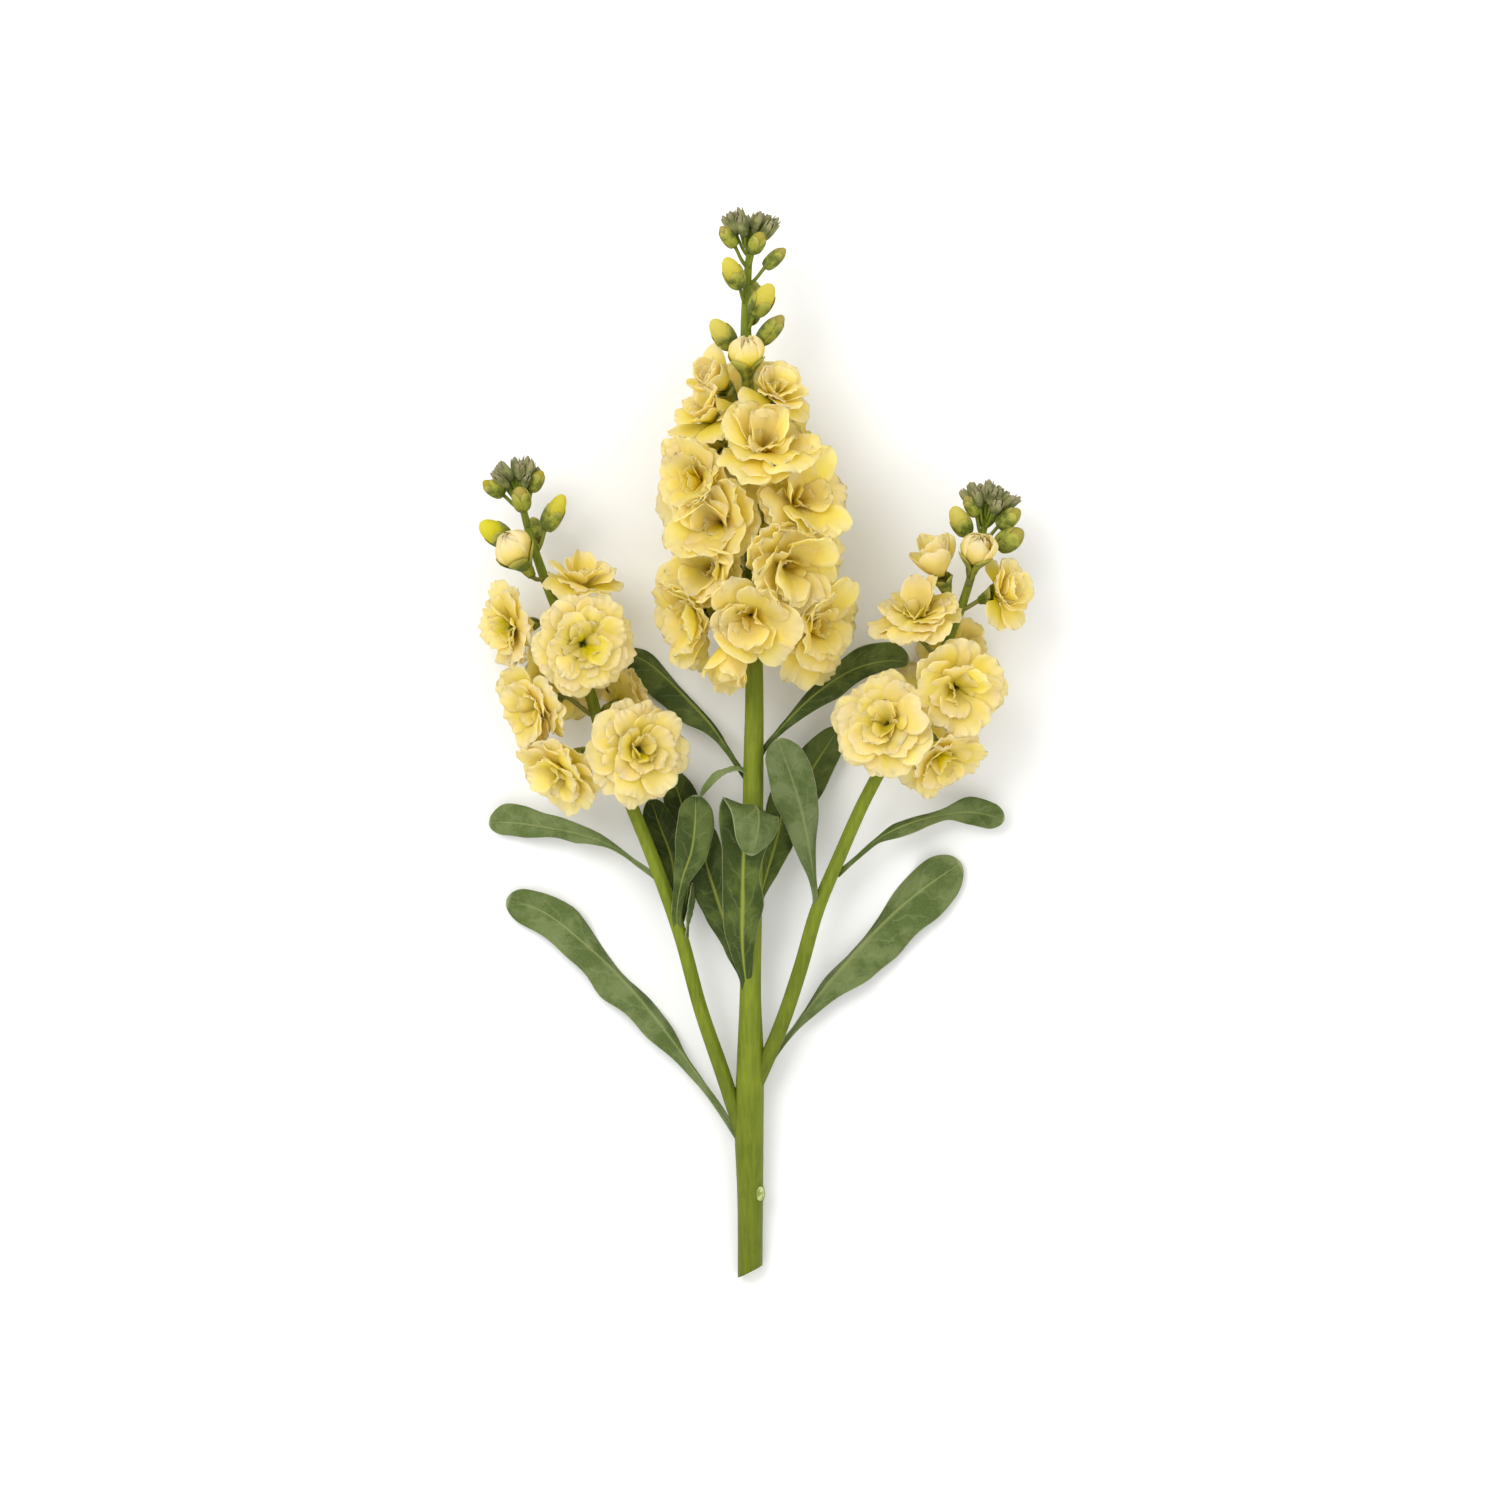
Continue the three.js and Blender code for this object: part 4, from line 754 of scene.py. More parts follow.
def addAxis(builder, name):
    axis = axes[name]
    shares = np.linspace(0, 1, stemDetail["steps"] + 1)
    centres = np.array([axis.curve.at(t) for t in shares])
    radii = softened(np.array([axis.radiusAt(t) for t in shares]), stemDetail["soften"])
    isMain = name == "main"
    addTube(builder, centres, radii, stemDetail["sides"], shape=ridges(stemDetail["phases"][name]),
            footMaterial=1 if isMain else 0)
    if isMain:  # slide the first rings onto the slanted cut plane, and keep off the floor
        points = builder.points[-1]
        slant = stemDetail["slant"]
        slope = slant / stemDetail["footWidth"]
        cutY = stemDetail["cutTop"] - slant / 2 + slope * (points[:, 0] - stemDetail["footMiddle"])
        points[:, 1] = np.maximum(points[:, 1], cutY)
        points[:, 2] = np.maximum(points[:, 2], 0)


def addScar(builder):
    # the scar of a fallen leaf, with a pale face
    rings, sides = stemDetail["scarRings"], stemDetail["scarSides"]
    along = axes["main"].frameAt(stemDetail["scarAt"][1])["along"]
    out = unit(np.array(stemDetail["scarFacing"]))
    aside = np.cross(along, out)
    angle = np.linspace(0, 2 * np.pi, sides, endpoint=False)
    wide, long, high = stemDetail["scarHalves"]
    ring = np.outer(np.cos(angle) * wide, aside) + np.outer(np.sin(angle) * long, along)
    grid = []
    for rise in np.linspace(-0.4, 1.5, rings):
        dent = 0.5 * max(0.0, math.sin(rise) - 0.86) / 0.14  # the face is sunk a little
        centre = np.array(stemDetail["scarAt"]) + out * (high * math.sin(rise) - dent)
        grid.append(centre + math.cos(rise) * ring)
    points = np.array(grid).reshape(-1, 3)
    skin = ringFaces(rings, sides)
    pale = (rings - 1 - stemDetail["paleRings"]) * sides
    foot = np.arange(sides)[None, ::-1]
    top = (rings - 1) * sides + np.arange(sides)[None, :]
    builder.add(points, [(skin[:pale], 0), (skin[pale:], 1), (top, 1), (foot, 0)],
                {"flow": np.full((len(points), 2), 0.1), "tone": np.full((len(points), 2), 0.5)})


def buildStems():
    builder = PieceBuilder()
    for name in axes:
        addAxis(builder, name)
    addScar(builder)
    builder.make("stems", [stemSkin, cutFace], ["stem"], "stem")


buildStems()
print("stems built")


# Pedicels, calyces and buds

pedicelDetail = {"points": 12, "sides": 10, "rootSwell": 0.7, "endSwell": 0.35}


def pedicelLine(seat, end):
    # leaves the axis at a slant, then bends to its flower
    start = seat["foot"]
    reach = np.linalg.norm(end - start)
    pull = start + unit(seat["footAlong"] * 0.5 + seat["outward"]) * reach * 0.4
    push = end - seat["facing"] * reach * 0.35
    t = np.linspace(0, 1, pedicelDetail["points"])[:, None]
    return ((1 - t) ** 3 * start + 3 * (1 - t) ** 2 * t * pull + 3 * (1 - t) * t ** 2 * push + t ** 3 * end)


def addPedicel(builder, seat, end, radius, tone=0.75):
    share = np.linspace(0, 1, pedicelDetail["points"])
    radii = radius * (1 + pedicelDetail["rootSwell"] * np.exp(-share * 9)
                      + pedicelDetail["endSwell"] * smoothstep(share, 0.8, 1.0))
    addTube(builder, pedicelLine(seat, end), radii, pedicelDetail["sides"], tone=tone)


# Globes of petals that are only just parting: width and length in mm, how far they part
globeBlooms = {"bloom_opening_main": (11.5, 13.6, 0.2), "bloom_opening_left": (12.8, 14.4, 0.15),
               "bloom_opening_right_2": (11.0, 13.2, 0.7)}
globeSink = 0.2  # share of the calyx that hides the foot of a globe
sepalDetail = {"count": 4, "rows": 11, "columns": 7, "thickness": 0.3, "edge": 0.5, "tipAngle": 0.12,
               "gap": 0.24, "overlap": 0.14}
calyxDetail = {
    "tube": [0.9, 1.25, 1.5, 1.55, 1.5, 1.4, 1.3, 1.2],  # radii of the green tube, from its foot
    "tubeSides": 14, "slimShare": 0.8, "stalk": 0.78,
    "width": 1.9, "halfOpenWidth": 1.75,  # half widths in mm
    "overGlobe": 6.4,                     # mm of sepal up a globe of petals
}
budDetail = {"stalk": 0.62, "crease": 0.09, "rim": 0.03, "swirl": 3.2, "cover": 0.66, "greenCover": 0.9}
clusterDetail = {"stalk": 0.5, "golden": 137.5, "start": 40, "depth": 4, "rise": 0.8}


def budProfile(s, point=2.0):
    # a rounded foot, widest two fifths of the way up, then a dome
    widest = 0.42
    low = 0.42 + 0.58 * np.sqrt(np.clip(1 - ((widest - s) / 0.44) ** 2, 0, 1))
    high = np.sqrt(np.clip(1 - np.maximum((s - widest) / 0.6, 0) ** point, 0, 1))
    return np.where(s < widest, low, high)


def eggProfile(s):  # radius of a globe of petals, widest past the middle
    return np.sin(np.pi * np.clip(0.06 + 0.91 * np.clip(s, 0, 1) ** 1.4, 0, 0.99)) ** 0.7


def addSepals(builder, base, facing, length, radiusAt, halfAngle, narrowFrom, rng, flare=0.0):
    # erect sepals in a ring that hug what they hold, each a thin closed shell
    start = rng.uniform(0, np.pi)
    s = np.linspace(0, 1, sepalDetail["rows"])[:, None]
    t = np.linspace(-1, 1, sepalDetail["columns"])[None, :]
    narrow = np.clip((s - narrowFrom) / (1 - narrowFrom), 0, 1)
    tip = sepalDetail["tipAngle"]
    half = tip + (halfAngle - tip) * np.sqrt(np.clip(1 - narrow ** 2, 0, 1))
    for index in range(sepalDetail["count"]):
        layer = sepalDetail["overlap"] * (index % 2)
        r = radiusAt(s) + sepalDetail["gap"] + layer + flare * s ** 4 + 0.1 * (t ** 2) * s
        angle = start + index * np.pi / 2 + t * half + rng.uniform(-0.08, 0.08)
        rise = s * length * rng.uniform(0.95, 1.03) - 0.25
        points = aroundAxis(base, facing, rise, r, angle)
        shell, faces = sheetShell(points, sepalDetail["thickness"], sepalDetail["edge"])
        uv = np.tile(gridMap(s, t / 2 + 0.5).reshape(-1, 2), (2, 1))
        tone = np.full((len(shell), 2), rng.uniform())
        builder.add(shell, faces, {"petalMap": uv, "petalTone": tone})


def addBudBody(builder, base, facing, length, radius, rng, folds=4, rows=18, sides=24, point=2.0):
    # a shut bud: an egg of overlapping petals, with spiral creases
    s = np.linspace(0.02, 1, rows)[:, None]
    angle = np.linspace(0, 2 * np.pi, sides, endpoint=False)[None, :]
    swirl = angle * folds + s * budDetail["swirl"] + rng.uniform(0, 6)
    crease = (1 - budDetail["crease"] * s * np.maximum(0, np.sin(swirl)) ** 6
              + budDetail["rim"] * s * np.sin(swirl - 0.9))
    r = radius * budProfile(s, point) * crease
    points = aroundAxis(base, facing, s * length, r, angle).reshape(-1, 3)
    points = np.concatenate([points, [base + facing * length * 1.01], [base]])
    foot, tip = capFaces(rows, sides, len(points) - 1, len(points) - 2)
    uv = gridMap(0.25 + 0.7 * s, (angle * folds / (2 * np.pi)) % 1).reshape(-1, 2)
    uv = np.concatenate([uv, [[0.95, 0.5], [0.25, 0.5]]])
    tone = np.stack([uv[:, 0], np.full(len(points), rng.uniform())], 1)
    builder.add(points, [(ringFaces(rows, sides), 0), (tip, 0), (foot, 0)],
                {"petalMap": uv, "petalTone": tone})


def addCalyx(stalks, sepals, bloom, rng):
    # the stalk of a bloom, the green tube under its petals and its sepals
    facing, calyx, half = bloom["facing"], bloom["calyx"], bloom["half"]
    base = bloom["throat"] - facing * calyx
    addPedicel(stalks, bloom, base, calyxDetail["stalk"])
    slim = bloomStyles.get(bloom["name"]) in ("cup", "young", "hanging")  # seen from the side
    radii = np.array(calyxDetail["tube"]) * (calyxDetail["slimShare"] if slim else 1)
    line = np.linspace(base - facing * 0.6, base + facing * calyx * 0.8, len(radii))
    addTube(stalks, line, radii, calyxDetail["tubeSides"], tone=0.3)
    width = calyxDetail["halfOpenWidth" if half else "width"]
    globe = globeBlooms.get(bloom["name"])
    if globe:
        length = calyx + calyxDetail["overGlobe"]
    elif slim:
        length = calyx * 1.25
    else:
        length = calyx * (1.0 if half else 0.95)

    def radiusAt(s):
        tube = width * (0.5 + 0.5 * smoothstep(s, -0.05, 0.3))
        if slim:
            return 0.95 + 0.75 * smoothstep(s, 0.0, 0.4) + 1.7 * smoothstep(s, 0.3, 1.15)
        if not globe:
            return tube
        held = (s * length - calyx * (1 - globeSink)) / globe[1]  # place up the globe of petals
        return np.where(held > 0, np.maximum(tube, globe[0] / 2 * eggProfile(held) + 0.35), tube)

    halfAngle, narrowFrom = (0.8, 0.4) if globe else (0.86, 0.62)
    addSepals(sepals, base, facing, length, radiusAt, halfAngle, narrowFrom, rng, flare=0.3)


def addTipCluster(stalks, tips, rng, axisName, count, spread, size, length):
    # buds in a spiral round the end of an axis, the outer ones lower
    tipY = stemShape[axisName][-1][1]
    for index in range(count):
        share = (index + 0.5) / count
        y = tipY + clusterDetail["rise"] - clusterDetail["depth"] * share
        turn = clusterDetail["golden"] * index + clusterDetail["start"] + rng.uniform(-22, 22)
        seat = seatOf(axisName, y, turn, spread * math.sqrt(share), 1.9 - share + rng.uniform(-0.35, 0.35))
        throat, facing = seat["throat"], seat["facing"]
        radius = size * rng.uniform(0.72, 1.2) / 2
        full = length * rng.uniform(0.8, 1.15)
        addPedicel(stalks, seat, throat + facing * 0.3, clusterDetail["stalk"], 0.4)
        addBudBody(tips, throat, facing, full, radius * 0.86, rng, rows=10, sides=12, point=1.5)
        addSepals(tips, throat, facing, full, lambda s: radius * 0.86 * budProfile(s * 0.97, 1.5),
                  0.9, 0.4, rng, flare=0.45)


def buildStalks():
    rng = np.random.default_rng(seeds["stalks"])
    stalks, sepals, tips, green = (PieceBuilder() for _ in range(4))
    for bloom in blooms:
        addCalyx(stalks, sepals, bloom, rng)
    for bud in buds:
        throat, facing, radius = bud["throat"], bud["facing"], bud["size"] / 2
        addPedicel(stalks, bud, throat + facing * 0.3, budDetail["stalk"], 0.6)
        if bud["name"] is None:
            cover = budDetail["greenCover"]
            addBudBody(green, throat, facing, bud["length"], radius * 0.9, rng)
            addSepals(sepals, throat, facing, bud["length"] * cover,
                      lambda s: radius * 0.9 * budProfile(s * cover), 0.95, 0.5, rng)
        else:
            cover = budDetail["cover"]
            addSepals(sepals, throat, facing, bud["length"] * cover,
                      lambda s: radius * 0.97 * budProfile(s * cover), 0.84, 0.35, rng)
    for row in tipClusters:
        addTipCluster(stalks, tips, rng, *row)
    stalks.make("pedicels", [stemSkin], ["stem"], "stem")
    sepals.make("sepals", [sepalSkin], ["stem"], "stem")
    tips.make("tipSepals", [greenTipSkin], ["stem"], "stem")
    green.make("greenBuds", [greenBudSkin], ["stem"], "stem")
    for bud in buds:
        if bud["name"]:
            body = PieceBuilder()
            addBudBody(body, bud["throat"] + bud["facing"] * 0.1, bud["facing"], bud["length"],
                       bud["size"] / 2 * 0.97, rng, folds=3)
            body.make("shown_" + bud["name"], [budSkin], [bud["name"]], "bud")


buildStalks()
print("pedicels, sepals and buds built")


# Blooms

bloomDetail = {
    "thickness": 0.22, "softFrom": 0.85, "slide": 0.6, "grow": 1.06,
    "grid": (14, 15), "innerGrid": (10, 11), "hiddenGrid": (9, 9),  # rows and columns of points on a petal
    "clawWidth": 2.3,  # mm
    "closing": 11, "tries": 7, "crowded": 0.9,  # petals close by steps until they fit
    # petals in a layer, length and width as shares of the size, lean at root and tip in
    # degrees, rise above the throat in mm, ruffle, cupping, crumple
    "full": [
        (9, 1.00, 0.74, 66, 101, 0.5, 1.0, -0.15, 0.0),
        (8, 0.90, 0.70, 58, 92, 0.8, 1.0, 0.0, 0.0),
        (7, 0.74, 0.60, 49, 83, 1.0, 1.0, 0.1, 0.2),
        (5, 0.58, 0.56, 40, 70, 1.1, 1.1, 0.2, 0.45),
        (5, 0.42, 0.44, 24, 46, 0.9, 1.0, 0.1, 0.8),
    ],
    "loose": [
        (7, 1.04, 0.86, 66, 98, 0.5, 1.4, -0.1, 0.0),
        (6, 0.94, 0.82, 54, 86, 0.8, 1.4, 0.0, 0.1),
        (5, 0.76, 0.74, 40, 66, 1.0, 1.3, 0.1, 0.3),
        (4, 0.50, 0.54, 22, 40, 0.9, 1.1, 0.1, 0.7),
    ],
    "massed": [
        (6, 1.26, 1.04, 72, 112, 0.3, 1.5, -0.1, 0.0),
        (6, 1.06, 1.02, 60, 96, 0.5, 1.6, -0.1, 0.0),
        (5, 0.94, 0.96, 46, 78, 0.8, 1.6, 0.0, 0.1),
        (5, 0.76, 0.78, 32, 58, 1.0, 1.4, 0.1, 0.35),
        (4, 0.50, 0.54, 18, 34, 0.9, 1.1, 0.1, 0.75),
    ],
    "hanging": [
        (4, 1.45, 0.90, 46, 24, 0.5, 1.5, 0.2, 0.1),
        (4, 1.30, 0.80, 30, 8, 0.7, 1.5, 0.3, 0.4),
    ],
    "young": [
        (5, 1.04, 0.92, 62, 96, 0.5, 1.1, 0.0, 0.0),
        (5, 1.00, 0.88, 44, 66, 0.8, 1.0, 0.2, 0.1),
        (4, 0.86, 0.74, 28, 40, 1.0, 0.9, 0.3, 0.4),
        (3, 0.60, 0.50, 12, 20, 1.0, 0.7, 0.3, 0.9),
    ],
    "cup": [
        (4, 1.50, 1.20, 52, 30, 0.5, 0.9, 0.5, 0.0),
        (4, 1.42, 1.10, 36, 12, 0.7, 0.9, 0.6, 0.1),
        (3, 1.20, 0.90, 18, 2, 0.8, 0.8, 0.6, 0.3),
    ],
}


def roomOf(bloom):
    # flat limits towards the neighbours, the buds and the stem: a direction and a distance
    limits = []

    def addLimit(normal, distance):
        limits.append((*normal, max(distance, 0.6)))

    for other in blooms:
        between = other["heart"] - bloom["heart"]
        distance = np.linalg.norm(between)
        both = bloom["size"] + other["size"]
        if other is not bloom and distance <= both * bloomDetail["grow"]:
            addLimit(between / distance, distance * (bloom["size"] / both))
    for bud in buds:
        between = bud["throat"] + bud["facing"] * bud["length"] * 0.4 - bloom["heart"]
        distance = np.linalg.norm(between)
        if distance < bloom["size"] + bud["size"]:
            addLimit(between / distance, distance - bud["size"] * 0.5 - 0.5)
    stemDistance = np.dot(bloom["heart"] - bloom["place"], bloom["outward"])
    addLimit(-bloom["outward"], stemDistance - bloom["axisRadius"] - 1.2)
    return np.array(limits)


def settledIn(points, bloom, room, inset):
    # what still meets a neighbour gives way and slides forwards along it, and stays above the floor
    rays = points - bloom["heart"]
    facing = bloom["facing"]
    for row in room:
        normal, limit = row[:3], max(row[3] - inset, 0.5)
        distance = rays @ normal
        soft = bloomDetail["softFrom"] * limit
        x = np.clip((distance - soft) / (2 * (limit - soft) + 3), 0, 1)
        held = np.where(distance <= soft, distance, soft + (limit - soft + 1.5) * (2 * x - x * x))
        excess = (distance - held)[..., None]
        slide = facing - normal * np.dot(facing, normal)
        rays = rays - excess * normal + excess * slide * bloomDetail["slide"]
    result = bloom["heart"] + rays
    low = bloom["floor"] + bloomDetail["thickness"] * 0.5 + max(inset, 0) * 0.3
    lift = np.maximum(low - result[..., 2], 0)
    result[..., 2] += lift
    result += (lift * 0.35)[..., None] * np.array([facing[0], facing[1], 0])
    return result


def crowding(points, bloom, room):
    # how far, in mm, the outermost tenth of a petal reaches into what is round it
    flat = points.reshape(-1, 3)
    past = (flat - bloom["heart"]) @ room[:, :3].T - room[:, 3]
    low = bloom["floor"] + 0.3 - flat[:, 2]
    return np.quantile(np.maximum(past.max(axis=1), low), 0.9)


def drawPetal(layer, size, wild, rng):
    lengthShare, widthShare, leanRoot, leanTip, rise, ruffle, cup, crumple = layer
    return {
        "length": size * lengthShare * rng.uniform(0.96 - 0.08 * wild, 1.08),
        "width": size * widthShare * rng.uniform(0.88, 1.12),
        "root": leanRoot + rng.uniform(-7, 7) * (wild + crumple),
        "tip": leanTip + rng.uniform(-12, 12) * (wild + crumple),
        "roll": rng.uniform(-26, 22) * min(1, ruffle),
        "rise": rise, "ruffle": ruffle, "cup": cup, "crumple": crumple,
        "fold": rng.choice([-1.0, 1.0]) * rng.uniform(0.3, 0.85) * crumple,
        "twist": rng.uniform(-0.7, 0.7) * crumple,
        "offset": rng.uniform(-0.05, 0.05, 2) * size * crumple,
        "notch": max(0, rng.uniform(-0.6, 1.4)),
        "tilt": rng.uniform(-1, 1), "crease": rng.uniform(-0.3, 0.3),
        "phase": rng.uniform(0, 2 * np.pi, 8), "rate": rng.uniform(0, 1, 4),
    }


petalForm = {
    # places up the petal, as shares of its length
    "limbBy": 0.62, "bendBy": 0.8, "rollFrom": 0.66, "edgeFrom": 0.7,
    # depths at the tip, as shares of the length
    "notch": 0.05, "edgeWave": 0.018,
    # widths, as shares of the petal's half width
    "scallop": 0.045, "notchWidth": 0.36, "creaseWidth": 0.16,
    # heights, as shares of the bloom's size
    "ruffle": 0.055, "crease": 0.014, "overlap": 0.055,
}


def petalOutline(petal, rise, t):
    # a narrow claw, then a broad round limb with a shallow uneven edge
    limb = smoothstep(rise, 0.05, petalForm["limbBy"])
    past = np.clip((rise - petalForm["limbBy"]) / (1 - petalForm["limbBy"]), 0, 1)
    half = np.maximum(bloomDetail["clawWidth"] / 2, petal["width"] / 2 * limb)
    across = half * np.sqrt(np.clip(1 - 0.97 * past ** 2.3, 0.02, 1)) * t
    u = across / (petal["width"] / 2)  # place across the petal, which stays small in a narrow tip
    phase, rate = petal["phase"], petal["rate"]
    scallop = np.sin(rise * (9 + 7 * rate[0]) + phase[6] + np.sign(t) * phase[7])
    across = across * (1 + petalForm["scallop"] * scallop * np.abs(t) * smoothstep(rise, 0.3, 0.7))
    return across, u


def petalRelief(petal, size, rise, t, across, u):
    # soft folds and waves that grow towards the margin
    phase, rate = petal["phase"], petal["rate"]
    grow = rise ** 1.7
    rim = np.sqrt(np.clip((rise - 0.1) ** 2 + (0.6 * u) ** 2, 0, 1))
    frill = np.sin(np.arctan2(u, rise * 0.7) * (9 + 5 * rate[0]) + phase[4]) * rim ** 4 * 0.75
    waves = (np.sin(u * (2.2 + 1.4 * rate[2]) + phase[0] + rise * 1.2) * 0.8 + frill
             + np.sin(u * (4.6 + 2 * rate[3]) + phase[1] + rise * 2) * 0.26
             + np.sin(rise * (5 + 3 * rate[0]) + phase[2] + np.sign(t) * phase[3]) * u ** 2 * 0.7)
    lift = size * petalForm["ruffle"] * petal["ruffle"] * grow * waves
    lift = lift + petal["cup"] * u ** 2 * petal["width"] * 0.2
    crease = np.exp(-((u - petal["crease"]) / petalForm["creaseWidth"]) ** 2)
    lift = lift - size * petalForm["crease"] * crease * smoothstep(rise, 0.1, 0.5) * (1 - 0.6 * rise)
    lift = lift + size * petalForm["overlap"] * petal["tilt"] * u * grow  # one side lies over the next
    # inner petals are folded lengthwise
    return lift + (np.sqrt(across ** 2 + 0.5) - 0.7) * petal["fold"] * smoothstep(rise, 0.1, 0.5)


def petalLine(petal, s, closing):
    # places and leans up the middle of a petal, which bends from its root's lean to its tip's
    samples = 60
    step = petal["length"] / samples
    fine = np.linspace(0, 1, samples)
    root = math.radians(petal["root"] - 0.55 * closing)
    tip = math.radians(petal["tip"] - closing)
    roll = math.radians(petal["roll"])
    lean = (root + (tip - root) * smoothstep(fine, 0.0, petalForm["bendBy"])
            + roll * smoothstep(fine, petalForm["rollFrom"], 1.0))
    out = np.concatenate([[0], np.cumsum(np.sin(lean))[:-1]]) * step + 0.5
    forward = np.concatenate([[0], np.cumsum(np.cos(lean))[:-1]]) * step + petal["rise"]
    return (np.interp(s, fine, v)[:, None] for v in (out, forward, lean))


def petalGrid(bloom, petal, angle, closing):
    fineness = "hiddenGrid" if bloom["hidden"] else "innerGrid" if petal["crumple"] > 0.4 else "grid"
    rows, columns = bloomDetail[fineness]
    length, facing = petal["length"], bloom["facing"]
    s = 1 - (1 - np.linspace(0, 1, rows)) ** 1.5
    rise = s[:, None]
    t = np.linspace(-1, 1, columns)[None, :]
    out, forward, lean = petalLine(petal, s, closing)
    across, u = petalOutline(petal, rise, t)
    lift = petalRelief(petal, bloom["size"] * bloomDetail["grow"], rise, t, across, u)
    # the tip has a notch and an uneven edge
    blunt = smoothstep(rise, petalForm["edgeFrom"], 1.0)
    notch = np.exp(-(u / petalForm["notchWidth"]) ** 2) * petal["notch"]
    pull = -petalForm["notch"] * length * notch * blunt
    wave = np.sin(u * (5 + 3 * petal["rate"][1]) + petal["phase"][5])
    pull = pull + petalForm["edgeWave"] * length * wave * blunt
    # inner petals are narrower and twisted
    turned = petal["twist"] * rise
    slim = across * (1 - 0.3 * abs(petal["fold"]))
    across = slim * np.cos(turned) - lift * np.sin(turned)
    lift = slim * np.sin(turned) + lift * np.cos(turned)
    side = sidewaysOf(facing)
    other = np.cross(facing, side)
    direction = side * math.cos(angle) + other * math.sin(angle)
    aside = np.cross(facing, direction)
    reachOut = out + pull * np.sin(lean) - np.cos(lean) * lift
    reachForward = forward + pull * np.cos(lean) + np.sin(lean) * lift
    # upright petals curve round the flower's axis
    wrap = np.clip(across / np.maximum(out + 2.0, 1.0), -1.2, 1.2) * smoothstep(np.cos(lean), 0.1, 0.9)
    wrap = wrap * (1 - petal["crumple"])
    middle = bloom["throat"] + side * petal["offset"][0] + other * petal["offset"][1]
    points = (middle + reachForward[..., None] * facing
              + (reachOut - across * np.sin(wrap) * 0.5 * np.cos(lean))[..., None] * direction
              + (across * (1 - 0.22 * np.abs(wrap)))[..., None] * aside)
    return points, gridMap(rise, t / 2 + 0.5)


def fittedPetal(bloom, room, petal, angle):
    # a petal that has no room to open stays more upright
    best = None
    for step in range(bloomDetail["tries"]):
        points, uv = petalGrid(bloom, petal, angle, step * bloomDetail["closing"])
        reach = crowding(points, bloom, room)
        if best is None or reach < best[0] - 0.2:
            best = (reach, points, uv)
        if reach < bloomDetail["crowded"]:
            break
    return best[1], best[2]


def addPetal(builder, points, uv, reach, chance, thickness):
    shell, faces = sheetShell(points, thickness)
    uvs = np.tile(uv.reshape(-1, 2), (2, 1))
    tone = np.stack([uvs[:, 0] * reach, np.full(len(uvs), chance)], 1)
    builder.add(shell, faces, {"petalMap": uvs, "petalTone": tone})


def buildBloom(bloom, seed):
    rng = np.random.default_rng(seed)
    room = roomOf(bloom)
    builder = PieceBuilder()
    style = bloomStyles.get(bloom["name"], "full")
    wild = 1.0 if style == "full" else 1.6  # how much the petals differ
    turn = rng.uniform(0, 2 * np.pi)
    for depth, (count, *layer) in enumerate(bloomDetail[style]):
        turn += 0.9 + rng.uniform(-0.2, 0.2)
        for index in range(count):
            angle = turn + (index + rng.uniform(-0.2, 0.2) * wild) * 2 * np.pi / count
            petal = drawPetal(layer, bloom["size"] * bloomDetail["grow"], wild, rng)
            points, uv = fittedPetal(bloom, room, petal, angle)
            inset = 0.2 * depth + rng.uniform(-1.8, 0)
            points = settledIn(points, bloom, room, inset)
            addPetal(builder, points, uv, petal["length"] / bloom["size"], rng.uniform(),
                     bloomDetail["thickness"])
    # massed and hanging blooms take the petal colours brightened with painted light
    skin = {"cup": openingSkin, "massed": warmLitSkin, "hanging": warmLitSkin}.get(style, petalSkin)
    builder.make("shown_" + bloom["name"], [skin], [bloom["name"]], "petal")


globeDetail = {
    "grid": (16, 13), "narrowFrom": 0.55, "thickness": 0.3, "twist": 0.7,
    # petals, half angle, share of the length, share of the width, from outside in
    "rings": [(4, 0.98, 1.0, 1.0), (4, 0.9, 0.97, 0.84), (4, 0.85, 0.95, 0.62), (3, 0.9, 0.93, 0.36)],
}


def wrapGrid(base, facing, length, radius, angle, halfAngle, rng, edgeLift, tipLift):
    # a petal wrapped round its flower's axis
    rows, columns = globeDetail["grid"]
    s = np.linspace(0, 1, rows)[:, None]
    t = np.linspace(-1, 1, columns)[None, :]
    past = np.clip((s - globeDetail["narrowFrom"]) / (1 - globeDetail["narrowFrom"]), 0, 1)
    half = halfAngle * np.sqrt(np.clip(1 - 0.9 * past ** 2.6, 0.04, 1)) * smoothstep(s, -0.5, 0.35)
    r = radius * eggProfile(s) + edgeLift * t ** 2 * s + tipLift * s ** 3
    r = r + radius * 0.05 * np.sin(t * 3 + rng.uniform(0, 6) + s * 3) * s
    r = r + 0.22 * np.sin(t * 5.5 + rng.uniform(0, 6)) * smoothstep(s, 0.6, 1.0)  # waved tip
    rise = length * s - 0.06 * length * t ** 2 * smoothstep(s, 0.6, 1.0)
    rise = rise + 0.035 * length * np.sin(t * 4 + rng.uniform(0, 6)) * smoothstep(s, 0.65, 1.0)
    rise = rise - 0.1 * tipLift * s ** 3
    return aroundAxis(base, facing, rise, r, angle + t * half), gridMap(s, t / 2 + 0.5)


